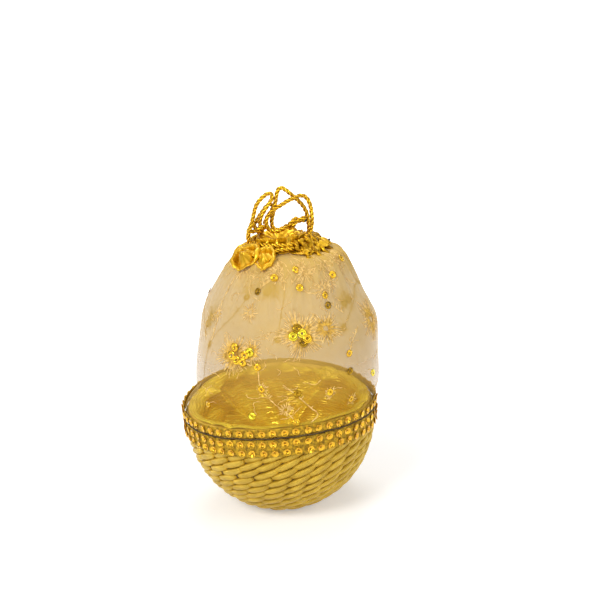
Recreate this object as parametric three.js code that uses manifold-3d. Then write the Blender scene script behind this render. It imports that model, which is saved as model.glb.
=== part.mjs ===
// Potli bag: a twined basket bowl with a gathered sheer organza top and two drawstrings.
// Millimetres, +Z up. The origin is the centre of the flat base.
import * as THREE from 'three';
import { mergeVertices } from 'three/addons/utils/BufferGeometryUtils.js';
import Module from 'manifold-3d';

const wasm = await Module();
wasm.setup();

// Bowl: a ball cut flat at the base and level at the rim, which dips a little at its sides.
const bowlRadius = 76;
const baseRadius = 29;
const rimHeight = 83;
const rimDip = 2.6;
const rimDipTurn = -80;
const bowlWall = 5;
const floorThickness = 4;

// Twined weave: rope-like rows of slanted lobes that widen towards the base.
const weaveRows = 8;
const rowGrowth = 1.08;
const lobePitch = 15;
const lobeSlant = 1.2;
const rowGrooveDepth = 2.1;
const slitDepth = 1.9;

// Padded ring on the rim, and the lining sewn to its inner edge.
const padWidth = 7.2;
const padHeight = 4;
const padRound = 1.2;
const padSetback = 1;
const liningThickness = 1;
const liningFolds = 9;
const liningFoldDepth = 2.2;

// Sheer bag: height above the rim as a share of neckHeight, radius and lean of bowlRadius.
const sheerShares = [
  [-0.0185, 1.0072, 0.0000],
  [0.0309, 1.0026, 0.0026],
  [0.0541, 0.9895, 0.0158],
  [0.1159, 0.9579, 0.0921],
  [0.2009, 0.9697, 0.1105],
  [0.3246, 0.9605, 0.1237],
  [0.5178, 0.9250, 0.1526],
  [0.6105, 0.8829, 0.1408],
  [0.7032, 0.8145, 0.1368],
  [0.7960, 0.7368, 0.1553],
  [0.8810, 0.6566, 0.1750],
  [0.9428, 0.5868, 0.1895],
  [0.9768, 0.5237, 0.1684],
  [0.9930, 0.4079, 0.1263],
];
const insideStations = [0, 1, 3, 4, 6, 8, 10, 12, 13];
const sheerThickness = 0.8;
const gatherFolds = 13;
const gatherDepth = 3.6;
const gatherStart = 92;

// Neck: where the two drawstrings pull the bag together.
const neckHeight = 129.4;
const neckLength = 7;
const neckRadius = 21.2;
const neckTaper = 4;
const neckLean = 9.4;

// Satin band: a skirt of petals below the drawstrings and an upright ruffle above them.
const satinThickness = 1;
const ruffleHeight = 7;
const ruffleFlare = 2.4;
// Petals by angle round the neck in degrees: half width, reach over the shoulder, puff above it.
const petals = [
  { at: 213, wide: 27, reach: 19, puff: 7 },
  { at: 245, wide: 19, reach: 18, puff: 5 },
  { at: 314, wide: 30, reach: 14, puff: 3.5 },
  { at: 350, wide: 32, reach: 18, puff: 7 },
  { at: 28, wide: 36, reach: 16, puff: 6 },
  { at: 92, wide: 45, reach: 11, puff: 4 },
  { at: 155, wide: 38, reach: 11, puff: 4 },
];
const petalLeast = 1.5;

// Trim: three rows of cup sequins on net, one above the seam thread and two below it.
const sequinsPerRow = 55;
const seamBelowRim = 1.5;
const trimRowPitch = 7.1;
const trimThickness = 1;
const cupHeight = 1.5;
const cupWidth = 4.4;
const threadDiameter = 1.4;

// Drawstrings.
const cordDiameter = 2.7;
const cordSides = 8;
const cordStep = 6.8;
const ringStep = 9;
const knotDiameter = 6.6;
const knotLength = 8;

// Embroidery and the loose sequins on the sheer.
const sequinDiameter = 6;
const sequinThickness = 0.7;
const sequinSides = 6;
const flowerRadius = 20;
const stitchThickness = 0.7;
const stitchLift = 0.9;

const clearance = 0.35;
const aroundSheer = gatherFolds * 4;
const aroundPlain = 36;

const turn = Math.PI * 2;
const radians = THREE.MathUtils.degToRad;
const { lerp, smoothstep, clamp } = THREE.MathUtils;
const ballCentre = Math.sqrt(bowlRadius ** 2 - baseRadius ** 2);
const rimRadius = Math.sqrt(bowlRadius ** 2 - (rimHeight - ballCentre) ** 2);
const neckBottom = rimHeight + neckHeight;
const neckTop = neckBottom + neckLength;

// Finishes
function finish(colour, roughness, metalness) {
  return new THREE.MeshStandardMaterial({ color: colour, roughness, metalness });
}
const wovenStrip = finish(0xdcb85c, 0.55, 0.15);
const netPad = finish(0xe6cf9c, 0.85, 0);
const tissueLining = finish(0xcd9f3a, 0.4, 0.3);
const organza = finish(0xe0c68c, 0.6, 0);
const goldTrim = finish(0xe0a628, 0.3, 0.7);
const darkThread = finish(0x2c2410, 0.8, 0);
const satin = finish(0xeab32c, 0.3, 0.1);
const twistedCord = finish(0xd9a63c, 0.5, 0.2);
const sequinGold = finish(0xe8c040, 0.2, 0.9);
const embroidery = finish(0xd8ac50, 0.6, 0.1);

// Sheer bag's stations: height above the rim, radius and lean.
const sheerStations = sheerShares.map(([above, radius, lean]) => {
  return [above * neckHeight, radius * bowlRadius, lean * bowlRadius];
});

// The hand-made rim is higher at the front and back than at its sides.
function dipAtRim(point) {
  const low = smoothstep(point.z, rimHeight * 0.45, rimHeight);
  const high = 1 - smoothstep(point.z, rimHeight * 1.1, rimHeight * 1.6);
  const angle = Math.atan2(point.y, point.x);
  const wave = Math.cos(2 * (angle - radians(rimDipTurn)));
  point.z += rimDip * wave * low * high;
  return point;
}

// A mesh from corners and triangles, with like corners merged.
function solid(name, corners, triangles, material) {
  const geometry = new THREE.BufferGeometry();
  const numbers = corners.flatMap((p) => [p.x, p.y, p.z]);
  geometry.setAttribute('position', new THREE.Float32BufferAttribute(numbers, 3));
  geometry.setIndex(triangles);
  const mesh = new THREE.Mesh(mergeVertices(geometry, 1e-4), material);
  mesh.geometry.computeVertexNormals();
  mesh.name = name;
  return mesh;
}

function polar(radius, angle, height, lean = 0) {
  return new THREE.Vector3(lean + radius * Math.cos(angle), radius * Math.sin(angle), height);
}

function ring(count, rule) {
  return Array.from({ length: count }, (_, i) => rule(i / count, i));
}

function middleOf(points) {
  return points.reduce((sum, p) => sum.add(p), new THREE.Vector3()).divideScalar(points.length);
}

// Triangles between two closed rings of corners, which may differ in count.
function bridge(first, firstCount, second, secondCount, inward) {
  const triangles = [];
  let i = 0;
  let j = 0;
  while (i < firstCount || j < secondCount) {
    const a = first + (i % firstCount);
    const b = second + (j % secondCount);
    const behind = i < firstCount && (i + 1) * secondCount <= (j + 1) * firstCount;
    const stepFirst = j >= secondCount || behind;
    const next = stepFirst ? first + ((i + 1) % firstCount) : second + ((j + 1) % secondCount);
    triangles.push(...(inward ? [a, next, b] : [a, b, next]));
    i += stepFirst ? 1 : 0;
    j += stepFirst ? 0 : 1;
  }
  return triangles;
}

// A closed body of rings that follow one another round a section and back to the first.
function loopBody(name, rings, material) {
  const corners = rings.flat();
  const triangles = [];
  let start = 0;
  rings.forEach((points, k) => {
    const after = (k + 1) % rings.length;
    const next = after === 0 ? 0 : start + points.length;
    triangles.push(...bridge(start, points.length, next, rings[after].length, false));
    start = next;
  });
  return solid(name, corners, triangles, material);
}

// A cup: outside rings from rim to base, and inside rings from rim to floor.
function cup(name, outside, inside, material) {
  const corners = [...outside.flat(), ...inside.flat()];
  const triangles = [];
  let start = 0;
  const starts = [...outside, ...inside].map((points) => {
    start += points.length;
    return start - points.length;
  });
  const counts = [...outside, ...inside].map((points) => points.length);
  for (let k = 0; k + 1 < counts.length; k += 1) {
    if (k !== outside.length - 1) {
      triangles.push(...bridge(starts[k], counts[k], starts[k + 1], counts[k + 1], k >= outside.length));
    }
  }
  triangles.push(...bridge(starts[0], counts[0], starts[outside.length], counts[outside.length], true));
  for (const [k, upward] of [[outside.length - 1, false], [counts.length - 1, true]]) {
    const centre = corners.push(middleOf(upward ? inside.at(-1) : outside.at(-1))) - 1;
    for (let i = 0; i < counts[k]; i += 1) {
      const a = starts[k] + i;
      const b = starts[k] + ((i + 1) % counts[k]);
      triangles.push(...(upward ? [centre, a, b] : [centre, b, a]));
    }
  }
  return solid(name, corners, triangles, material);
}

// Inner wall of the bowl, from the rim at 0 to the floor at 1.
const innerShares = [0, 0.28, 0.6, 1];
function innerWall(share, inset) {
  const radius = bowlRadius - bowlWall;
  const rim = Math.asin((rimHeight - ballCentre) / radius);
  const floor = Math.asin((floorThickness - ballCentre) / radius);
  const at = lerp(rim, floor, share);
  return [(radius - inset) * Math.cos(at), ballCentre + (radius - inset) * Math.sin(at)];
}

// Bowl: each row has a groove ring and a crown ring, and a slit between one lobe and the next.
const lobeSpots = [0, 0.3, 0.7];
function lobeRing(lobes, start, radiusAt, ballAngle) {
  return ring(lobes * lobeSpots.length, (_, i) => {
    const spot = (Math.floor(i / lobeSpots.length) + lobeSpots[i % lobeSpots.length]) / lobes;
    const radius = radiusAt(i % lobeSpots.length);
    const height = ballCentre + radius * Math.sin(ballAngle);
    return polar(radius * Math.cos(ballAngle), start + turn * spot, height);
  });
}
function makeBowl() {
  const rimAngle = Math.asin((rimHeight - ballCentre) / bowlRadius);
  const baseAngle = -Math.acos(baseRadius / bowlRadius);
  const firstRow = ((rimAngle - baseAngle) * (rowGrowth - 1)) / (rowGrowth ** weaveRows - 1);
  const outside = [];
  let angle = rimAngle;
  let start = 0;
  for (let row = 0; row < weaveRows; row += 1) {
    const rowAngle = firstRow * rowGrowth ** row;
    const crown = angle - rowAngle / 2;
    const lobes = Math.round((turn * bowlRadius * Math.cos(crown)) / lobePitch);
    const halfSlant = ((lobeSlant / 2) * turn) / lobes;
    const groove = row === 0 ? 0 : rowGrooveDepth;
    outside.push(lobeRing(lobes, start, () => bowlRadius - groove, angle));
    const slit = (spot) => bowlRadius - (spot === 0 ? slitDepth : 0);
    outside.push(lobeRing(lobes, start - halfSlant, slit, crown));
    angle -= rowAngle;
    start -= 2 * halfSlant;
  }
  outside.push(ring(aroundPlain, (s) => polar(baseRadius, start + turn * s, 0)));
  const inside = innerShares.map((share) => {
    const [radius, height] = innerWall(share, 0);
    return ring(aroundPlain, (s) => polar(radius, turn * s, height));
  });
  const dipped = (rings) => rings.map((points) => points.map(dipAtRim));
  return cup('basket_bowl', dipped(outside), dipped(inside), wovenStrip);
}

// Padded ring that rounds off the rim.
const padOuter = rimRadius - padSetback;
const padInner = padOuter - padWidth;
const padBottom = rimHeight + clearance;
const padTop = padBottom + padHeight;
function makeRimPad() {
  const profile = [
    [padOuter, padTop - padRound],
    [padOuter, padBottom],
    [padInner, padBottom],
    [padInner, padTop - padRound],
    [(padInner + padOuter) / 2, padTop],
  ];
  const rings = profile.map(([r, z]) => ring(aroundPlain, (s) => dipAtRim(polar(r, turn * s, z))));
  return loopBody('rim_pad', rings, netPad);
}

// Lining: gold tissue cloth that hangs in soft folds inside the bowl.
function makeLining() {
  const topRadius = padInner - clearance;
  const stations = [
    [topRadius, padTop - padRound / 2, 0.1],
    [topRadius, rimHeight - 2, 0.4],
  ];
  for (const share of innerShares.slice(1)) {
    stations.push([...innerWall(share, clearance * 1.5), share === 1 ? 0 : 1 - share * 0.5]);
  }
  const surface = (inset) => stations.map(([r, z, fold]) => ring(liningFolds * 3, (s) => {
    const wave = 0.5 - 0.5 * Math.cos(turn * s * liningFolds);
    const onFloor = r === stations.at(-1)[0];
    return dipAtRim(polar(r - wave * fold * liningFoldDepth - inset, turn * s, onFloor ? z + inset : z));
  }));
  return cup('bowl_lining', surface(0), surface(liningThickness), tissueLining);
}

// Sheer bag: radius and lean at a height, gathered into folds towards the neck.
const sheerProfile = [
  ...sheerStations,
  [neckHeight, neckRadius + gatherDepth / 4, neckLean],
  [neckHeight + neckLength, neckRadius + gatherDepth / 4 - neckTaper, neckLean],
];
function sheerAt(height) {
  const above = height - rimHeight;
  let k = 0;
  while (k < sheerProfile.length - 2 && sheerProfile[k + 1][0] < above) {
    k += 1;
  }
  const [low, high] = [sheerProfile[k], sheerProfile[k + 1]];
  const share = clamp((above - low[0]) / (high[0] - low[0]), 0, 1);
  return [lerp(low[1], high[1], share), lerp(low[2], high[2], share)];
}
function gatherAt(angle, height) {
  const above = height - rimHeight;
  const inNeck = above > neckHeight - 0.5;
  const grow = inNeck ? 0.25 : smoothstep(above, gatherStart, neckHeight - 8);
  return grow * gatherDepth * (0.5 - 0.5 * Math.cos(angle * gatherFolds));
}
function sheerPoint(angle, height, out = 0) {
  const [radius, lean] = sheerAt(height);
  return dipAtRim(polar(radius + out - gatherAt(angle, height), angle, height, lean));
}
function makeSheer() {
  const heights = sheerProfile.map(([above]) => rimHeight + above);
  const kept = [...insideStations, sheerProfile.length - 2, sheerProfile.length - 1];
  const outside = heights.map((h) => ring(aroundSheer, (s) => sheerPoint(turn * s, h))).reverse();
  const inside = kept.map((k) => {
    return ring(aroundSheer, (s) => sheerPoint(turn * s, heights[k], -sheerThickness));
  });
  return loopBody('sheer_bag', [...outside, ...inside], organza);
}

// Trim: a net band whose cells each carry one raised cup sequin.
const hemOuter = sheerStations[0][1];
const seamHeight = rimHeight - seamBelowRim;
function makeTrim(name, innerRadius, centres) {
  const half = trimRowPitch / 2 - clearance;
  const columns = sequinsPerRow;
  const outerRadius = innerRadius + trimThickness;
  const edges = [centres[0] + half];
  centres.forEach((z, k) => edges.push(k + 1 < centres.length ? (z + centres[k + 1]) / 2 : z - half));
  const corners = [];
  const triangles = [];
  const put = (radius, angle, height) => corners.push(dipAtRim(polar(radius, angle, height))) - 1;
  const grid = edges.map((z) => ring(columns, (s) => put(outerRadius, turn * s, z)));
  const back = [edges.at(-1), edges[0]].map((z) => ring(columns, (s) => put(innerRadius, turn * s, z)));
  const quad = (a, b, c, d) => triangles.push(a, b, c, a, c, d);
  const cupHalf = cupWidth * 0.4;
  const cupAngle = cupHalf / outerRadius;
  for (let i = 0; i < columns; i += 1) {
    const next = (i + 1) % columns;
    const middle = (turn * (i + 0.5)) / columns;
    centres.forEach((z, k) => {
      const cell = [grid[k][i], grid[k + 1][i], grid[k + 1][next], grid[k][next]];
      const top = [[-1, 1], [-1, -1], [1, -1], [1, 1]].map(([side, up]) => {
        return put(outerRadius + cupHeight, middle + side * cupAngle, z + up * cupHalf);
      });
      for (let c = 0; c < 4; c += 1) {
        const after = (c + 1) % 4;
        quad(cell[c], cell[after], top[after], top[c]);
      }
      quad(...top);
    });
    quad(grid.at(-1)[i], back[0][i], back[0][next], grid.at(-1)[next]);
    quad(back[0][i], back[1][i], back[1][next], back[0][next]);
    quad(back[1][i], grid[0][i], grid[0][next], back[1][next]);
  }
  return solid(name, corners, triangles, goldTrim);
}
function makeSeamThread() {
  const middle = hemOuter + clearance + threadDiameter / 2;
  const half = threadDiameter / 2;
  const section = [[half, 0], [-half / 2, -half], [-half / 2, half]];
  const rings = section.map(([r, z]) => ring(aroundSheer, (s) => {
    return dipAtRim(polar(middle + r, turn * s, seamHeight + z));
  }));
  return loopBody('seam_thread', rings, darkThread);
}

// Satin band: each angle has a path from the petal's edge in to the neck and up to the ruffle's edge.
const satinNeck = neckRadius + gatherDepth / 4 + clearance + satinThickness / 2;
function satinNeckAt(height) {
  return satinNeck - (neckTaper * (height - neckBottom)) / neckLength;
}
function petalAt(angle) {
  let reach = petalLeast;
  let puff = 0;
  for (const petal of petals) {
    const away = Math.abs(((THREE.MathUtils.radToDeg(angle) - petal.at + 540) % 360) - 180);
    const share = away < petal.wide ? Math.cos(((away / petal.wide) * Math.PI) / 2) : 0;
    reach = Math.max(reach, petal.reach * Math.sqrt(share));
    puff = Math.max(puff, petal.puff * share);
  }
  return { reach, puff };
}
function shoulderHeight(radius) {
  let k = sheerProfile.length - 2;
  while (k > 0 && sheerProfile[k][1] < radius) {
    k -= 1;
  }
  const [low, high] = [sheerProfile[k], sheerProfile[k + 1]];
  return rimHeight + lerp(low[0], high[0], clamp((low[1] - radius) / (low[1] - high[1]), 0, 1));
}
function satinPath(angle) {
  const { reach, puff } = petalAt(angle);
  const skirt = [1, 0.75, 0.45, 0.16].map((share) => {
    const radius = satinNeck + 0.8 + reach * share;
    const height = shoulderHeight(radius);
    const outside = radius - gatherAt(angle, height) - satinNeck;
    const clearOfCord = smoothstep(outside, cordDiameter * 1.6, cordDiameter * 3.4);
    const swell = puff * Math.sin(Math.PI * share * 0.86) * clearOfCord;
    const point = sheerPoint(angle, height);
    point.z += satinThickness / 2 + clearance * 1.6 + swell;
    return point;
  });
  const fold = Math.cos(angle * gatherFolds);
  const notch = 1 - Math.abs(Math.cos(angle)) ** 12;
  const flare = (0.3 + fold) * ruffleFlare * notch - (1 - notch) * ruffleFlare;
  const leftSide = Math.max(0, -Math.cos(angle));
  const rise = (0.75 + 0.25 * Math.sin(angle)) * (0.6 + 0.4 * notch) * (1 - 0.5 * leftSide);
  const height = ruffleHeight * rise;
  const upright = [
    [satinNeckAt(neckBottom + 1.8), neckBottom + 1.8],
    [satinNeckAt(neckTop), neckTop],
    [satinNeckAt(neckTop) + flare, neckTop + height + fold * 0.8],
  ].map(([radius, z]) => polar(radius, angle, z, neckLean));
  return [...skirt, ...upright];
}
function makeSatin() {
  const paths = ring(aroundSheer, (s) => satinPath(turn * s));
  const side = (sign) => paths[0].map((_, k) => paths.map((path, i) => {
    const outward = polar(1, (turn * i) / aroundSheer, 0);
    const along = path[Math.min(k + 1, path.length - 1)].clone().sub(path[Math.max(k - 1, 0)]);
    const normal = outward.clone().multiplyScalar(along.z);
    normal.z = -along.dot(outward);
    return path[k].clone().addScaledVector(normal.normalize(), (sign * satinThickness) / 2);
  }));
  return loopBody('satin_band', [...side(1).reverse(), ...side(-1)], satin);
}

// Cords: a tube along chosen points.
function tube(points, step) {
  const curve = new THREE.CatmullRomCurve3(points.map((p) => new THREE.Vector3(...p)));
  const section = new THREE.Shape(
    Array.from({ length: cordSides }, (_, i) => new THREE.Vector2(
      (cordDiameter / 2) * Math.cos((turn * i) / cordSides),
      (cordDiameter / 2) * Math.sin((turn * i) / cordSides),
    )),
  );
  const steps = Math.round(curve.getLength() / step);
  return new THREE.ExtrudeGeometry(section, { steps, bevelEnabled: false, extrudePath: curve });
}
function cordMesh(name, points, step) {
  const mesh = new THREE.Mesh(tube(points, step), twistedCord);
  mesh.name = name;
  return mesh;
}

// The ring of a drawstring goes round the neck from its exit and back to it.
const cordOffNeck = satinThickness / 2 + clearance * 2 + cordDiameter / 2;
const lowerRing = neckBottom + satinThickness + clearance * 2.6 + cordDiameter / 2;
const upperRing = lowerRing + cordDiameter + clearance;
const exitGap = 9;
function cordRing(name, exitAngle, height) {
  const points = Array.from({ length: 25 }, (_, i) => {
    const angle = radians(exitAngle + lerp(exitGap, 360 - exitGap, i / 24));
    return polar(satinNeckAt(height) + cordOffNeck, angle, height, neckLean).toArray();
  });
  return cordMesh(name, points, ringStep);
}

// Free strands: routes from the neck to each knot.
const leftFront = [
  [-14.9, -4, 217.6], [-15.6, -4.4, 220.5], [-14.9, -4.5, 225.5], [-13.5, -4.3, 229.5],
  [-11.9, -4, 233.5], [-10.1, -3.5, 239.6], [-8.1, -3, 245.7],
  [-5.1, -2.5, 250.2], [-1.0, -2, 253.7], [2.4, -1.5, 255.3], [4.7, -1, 254.2],
  [4.9, -1, 251.5], [3.3, -1.5, 248.5], [0.7, -2, 245.3], [-1.8, -2.5, 242.0], [-4.2, -2.5, 238.2],
  [-5.6, -2, 233.4], [-5.7, -1.2, 229.3],
];
const leftBack = [
  [-14.9, 4, 217.6], [-15.6, 4.4, 220.5], [-15, 4.8, 225], [-12.8, 4.8, 229], [-8.6, 4.5, 232.4],
  [-6.0, 4.5, 236.2], [-3.1, 4.5, 240.0], [-0.1, 4.5, 243.6], [3.0, 4.6, 245.4], [4.9, 4.8, 243.9],
  [4.2, 5.2, 240.4], [1.4, 5.2, 236.6], [-0.8, 4.8, 233], [-2.2, 3.2, 230],
];
const rightFront = [
  [31.7, -3.8, 220.6], [33.4, -4.1, 225], [34.6, -4, 231.1], [34.6, -4, 239.8], [33.5, -4, 246.3],
  [31.1, -4, 250.8], [27.4, -4, 252.6], [22.7, -4, 251.4], [17.2, -3.8, 249.2], [11.6, -3.8, 246.1],
  [6.8, -3.8, 243.6], [2.7, -3.7, 240.3], [-0.1, -3.4, 236.4], [-0.7, -2.8, 232.4], [0.3, -2.3, 228.2],
  [3.3, -2, 225.5], [7.1, -1.9, 225.0], [11.9, -1.8, 226.5], [15.6, -1.7, 228.4],
];
const rightBack = [
  [31.7, 3.8, 220.6], [32.2, 4.1, 225], [31.9, 3.9, 229.8], [31.3, 3, 235.9], [29.3, 2, 241.5],
  [26.4, 1, 246.0], [22.8, 0.5, 250.1], [19.1, 0, 253.8], [15.4, 0, 257.2], [12.5, 0, 258.7],
  [10.1, 0, 257.3], [8.6, 0.2, 253.4], [7.6, 0.4, 248.7], [6.3, 0.6, 243.1], [5.0, 1, 238.4],
  [3.7, 1.4, 233.6], [3.7, 1.8, 228.9], [5.3, 1.9, 226.1], [8.6, 1.9, 225.2], [12.5, 1.9, 226.6],
  [15.7, 1.9, 228.4],
];

// Knot: a lump of two wraps with two short tails, all one body.
function toManifold(geometry) {
  const bare = geometry.clone();
  bare.deleteAttribute('normal');
  bare.deleteAttribute('uv');
  const merged = mergeVertices(bare, 1e-4);
  const vertProperties = new Float32Array(merged.attributes.position.array);
  const triVerts = new Uint32Array(merged.index.array);
  return new wasm.Manifold(new wasm.Mesh({ numProp: 3, vertProperties, triVerts }));
}
function fromManifold(name, body, material) {
  const { vertProperties, triVerts } = body.getMesh();
  const geometry = new THREE.BufferGeometry();
  geometry.setAttribute('position', new THREE.BufferAttribute(new Float32Array(vertProperties), 3));
  geometry.setIndex(new THREE.BufferAttribute(new Uint32Array(triVerts), 1));
  geometry.computeVertexNormals();
  const mesh = new THREE.Mesh(geometry, material);
  mesh.name = name;
  return mesh;
}
function makeKnot(name, from, to, tails) {
  const start = new THREE.Vector3(...from);
  const along = new THREE.Vector3(...to).sub(start).normalize();
  const half = knotDiameter / 2;
  const outline = [[0, 0], [half * 0.75, 0.6], [half, knotLength * 0.28], [half * 0.8, knotLength * 0.5],
    [half, knotLength * 0.72], [half * 0.7, knotLength - 0.5], [0, knotLength]];
  const lump = new THREE.LatheGeometry(outline.map(([r, y]) => new THREE.Vector2(r, y)), cordSides);
  lump.applyQuaternion(new THREE.Quaternion().setFromUnitVectors(new THREE.Vector3(0, 1, 0), along));
  lump.translate(...from);
  let body = toManifold(lump);
  for (const tail of tails) {
    body = body.add(toManifold(tube(tail, cordStep)));
  }
  return fromManifold(name, body, twistedCord);
}

// Loose sequins: angle round the bag in degrees and height above the rim over neckHeight.
const looseSequins = [
  [-116, 0.835], [-104, 0.908], [-84, 0.939], [-81, 0.850], [-46, 0.877], [-23, 0.935],
  [-59, 0.734], [-63, 0.796], [-52, 0.444], [-51, 0.332], [-26, 0.247], [-111, 0.425],
  [-107.5, 0.294], [-86, 0.255], [-151, 0.131], [-113, 0.112], [-66, 0.236], [-50, 0.147],
  [-83.5, 0.073], [20, 0.696], [48, 0.309], [75, 0.773], [95, 0.193], [118, 0.541], [150, 0.309],
  [172, 0.734],
];
function makeSequin(name, angle, height) {
  const out = clearance * 2.2 + sequinThickness / 2;
  const at = sheerPoint(angle, height, out);
  const side = sheerPoint(angle + 0.02, height, out).sub(sheerPoint(angle - 0.02, height, out));
  const up = sheerPoint(angle, height + 1, out).sub(sheerPoint(angle, height - 1, out));
  const outward = side.cross(up).normalize();
  const half = sequinDiameter / 2;
  const disc = new THREE.CylinderGeometry(half, half, sequinThickness, sequinSides);
  disc.applyQuaternion(new THREE.Quaternion().setFromUnitVectors(new THREE.Vector3(0, 1, 0), outward));
  disc.translate(at.x, at.y, at.z);
  const mesh = new THREE.Mesh(disc, sequinGold);
  mesh.name = name;
  return mesh;
}

// Embroidered flowers: sprays of stitches as thin raised stars on the sheer.
const flowers = [
  { name: 'flower_left', at: -128.5, above: 0.479, spread: 0.85, rays: 13 },
  { name: 'flower_front', at: -84, above: 0.595, spread: 1.00, rays: 13 },
  { name: 'flower_right', at: -22, above: 0.556, spread: 0.80, rays: 11 },
  { name: 'flower_back_right', at: 45, above: 0.510, spread: 0.85, rays: 11 },
  { name: 'flower_back', at: 100, above: 0.572, spread: 0.95, rays: 13 },
  { name: 'flower_back_left', at: 152, above: 0.495, spread: 0.80, rays: 11 },
];
function makeFlower({ name, at, above: share, spread, rays }) {
  const above = share * neckHeight;
  const size = spread * flowerRadius;
  const count = rays * 2;
  const middleRadius = sheerAt(rimHeight + above)[0];
  const place = (reach, round, out) => {
    const angle = radians(at) + (reach * Math.cos(turn * round)) / middleRadius;
    return sheerPoint(angle, rimHeight + above + reach * Math.sin(turn * round), out);
  };
  const layer = (out) => {
    const points = ring(count, (s, i) => {
      const ray = size * (0.86 + 0.14 * Math.sin(i * 2.4));
      return place(i % 2 === 0 ? ray : size * 0.42, s, out);
    });
    return [points, place(0, 0, out)];
  };
  const [low, lowCentre] = layer(stitchLift);
  const [high, highCentre] = layer(stitchLift + stitchThickness);
  const corners = [...low, ...high, lowCentre, highCentre];
  const triangles = bridge(count, count, 0, count, false);
  for (let i = 0; i < count; i += 1) {
    const next = (i + 1) % count;
    triangles.push(count * 2, next, i, count * 2 + 1, count + i, count + next);
  }
  return solid(name, corners, triangles, embroidery);
}

const part = new THREE.Group();
part.add(makeBowl(), makeRimPad(), makeLining(), makeSheer());
const firstRowHeight = seamHeight + threadDiameter / 2 + trimRowPitch / 2 + 0.2;
const secondRowHeight = seamHeight - threadDiameter / 2 - trimRowPitch / 2 - 0.2;
part.add(makeTrim('trim_upper', hemOuter + clearance, [firstRowHeight]));
const lowerRows = [secondRowHeight, secondRowHeight - trimRowPitch];
part.add(makeTrim('trim_lower', bowlRadius + clearance * 1.2, lowerRows));
part.add(makeSeamThread(), makeSatin());
part.add(cordRing('cord_ring_left', 180, lowerRing), cordRing('cord_ring_right', 0, upperRing));
part.add(cordMesh('strand_left_front', leftFront, cordStep));
part.add(cordMesh('strand_left_back', leftBack, cordStep));
part.add(cordMesh('strand_right_front', rightFront, cordStep));
part.add(cordMesh('strand_right_back', rightBack, cordStep));
part.add(makeKnot('knot_right', [16.2, 0, 228.85], [21.4, 0, 231.95], [
  [[22, 0, 232], [25, -1.2, 233.2], [30.5, -2, 235.2]],
  [[22, 0, 231.6], [25, 1.2, 231.6], [29.5, 2.2, 231.2]],
]));
part.add(makeKnot('knot_left', [-2.6, 1.4, 226.6], [-9, 0.4, 225.8], [
  [[-9, 0.4, 225.8], [-12, 0, 225.6], [-15.5, -0.2, 225.2]],
  [[-9, 1, 226], [-10, 1.6, 229], [-10.4, 1.4, 232]],
]));
looseSequins.forEach(([angle, above], i) => {
  const name = `sequin_${String(i + 1).padStart(2, '0')}`;
  part.add(makeSequin(name, radians(angle), rimHeight + above * neckHeight));
});
flowers.forEach((flower) => part.add(makeFlower(flower)));

export default part;
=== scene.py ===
# %% [markdown]
# # A potli bag in Blender
# A potli is a small drawstring pouch. This one has a round basket bowl twined from flat gold
# strips, a tube of sheer organza sewn over the bowl's rim, a satin frill and two twisted cords.
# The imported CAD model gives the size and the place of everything, so each piece here is built
# in metres, in the same frame, and stands for the plain CAD solid that it replaces.

# %% Load the frame
import math
import random

import bmesh
import bpy
from mathutils import Matrix, Vector, noise


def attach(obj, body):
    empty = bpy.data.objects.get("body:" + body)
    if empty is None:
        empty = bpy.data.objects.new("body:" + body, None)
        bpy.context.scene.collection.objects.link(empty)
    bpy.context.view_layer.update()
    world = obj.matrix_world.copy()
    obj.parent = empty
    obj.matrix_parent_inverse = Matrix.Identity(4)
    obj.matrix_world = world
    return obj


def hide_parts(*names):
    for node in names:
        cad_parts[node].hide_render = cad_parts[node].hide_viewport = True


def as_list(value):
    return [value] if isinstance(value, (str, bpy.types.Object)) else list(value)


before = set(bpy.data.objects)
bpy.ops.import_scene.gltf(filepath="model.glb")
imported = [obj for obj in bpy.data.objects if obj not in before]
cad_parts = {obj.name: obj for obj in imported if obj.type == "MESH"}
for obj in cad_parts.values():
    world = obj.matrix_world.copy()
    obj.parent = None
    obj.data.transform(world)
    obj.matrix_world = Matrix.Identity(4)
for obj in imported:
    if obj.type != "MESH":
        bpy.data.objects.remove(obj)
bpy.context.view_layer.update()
MM = 0.001
FULL_TURN = 2 * math.pi

# %% [markdown]
# ## Camera
# The photograph looks down on the bag at 22.5 degrees from about 1.1 metres, a little rolled.
# The camera first aims at the middle of the bowl, and then turns until that point falls on the
# pixel where the photograph shows it. Turning the camera is better than shifting its lens,
# because other views then keep a normal perspective.

# %% Camera
IMAGE_SIDE = 600
FOCAL_PIXELS = 1349.69
SENSOR_WIDTH = 36
ELEVATION, ROLL = math.radians(22.5), math.radians(4)
DISTANCE = 1.1
BALL_CENTRE = Vector((0, 0, 70.25 * MM))
BALL_PIXEL = (280.5, 415.5)


def placed(axes, point):
    """The matrix that turns X, Y and Z into these axes and moves the origin to the point."""
    matrix = Matrix([[axis[i] for axis in axes] for i in range(3)]).to_4x4()
    matrix.translation = point
    return matrix


def camera_place():
    forward = Vector((0, math.cos(ELEVATION), -math.sin(ELEVATION)))
    side = Vector((1, 0, 0))
    above = Vector((0, math.sin(ELEVATION), math.cos(ELEVATION)))
    right = side * math.cos(ROLL) - above * math.sin(ROLL)
    up = side * math.sin(ROLL) + above * math.cos(ROLL)
    half = IMAGE_SIDE / 2
    seen = right * (BALL_PIXEL[0] - half) + up * (half - BALL_PIXEL[1]) + forward * FOCAL_PIXELS
    turned = seen.rotation_difference(forward)
    return placed((turned @ right, turned @ up, -(turned @ forward)),
                  BALL_CENTRE - forward * DISTANCE)


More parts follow.
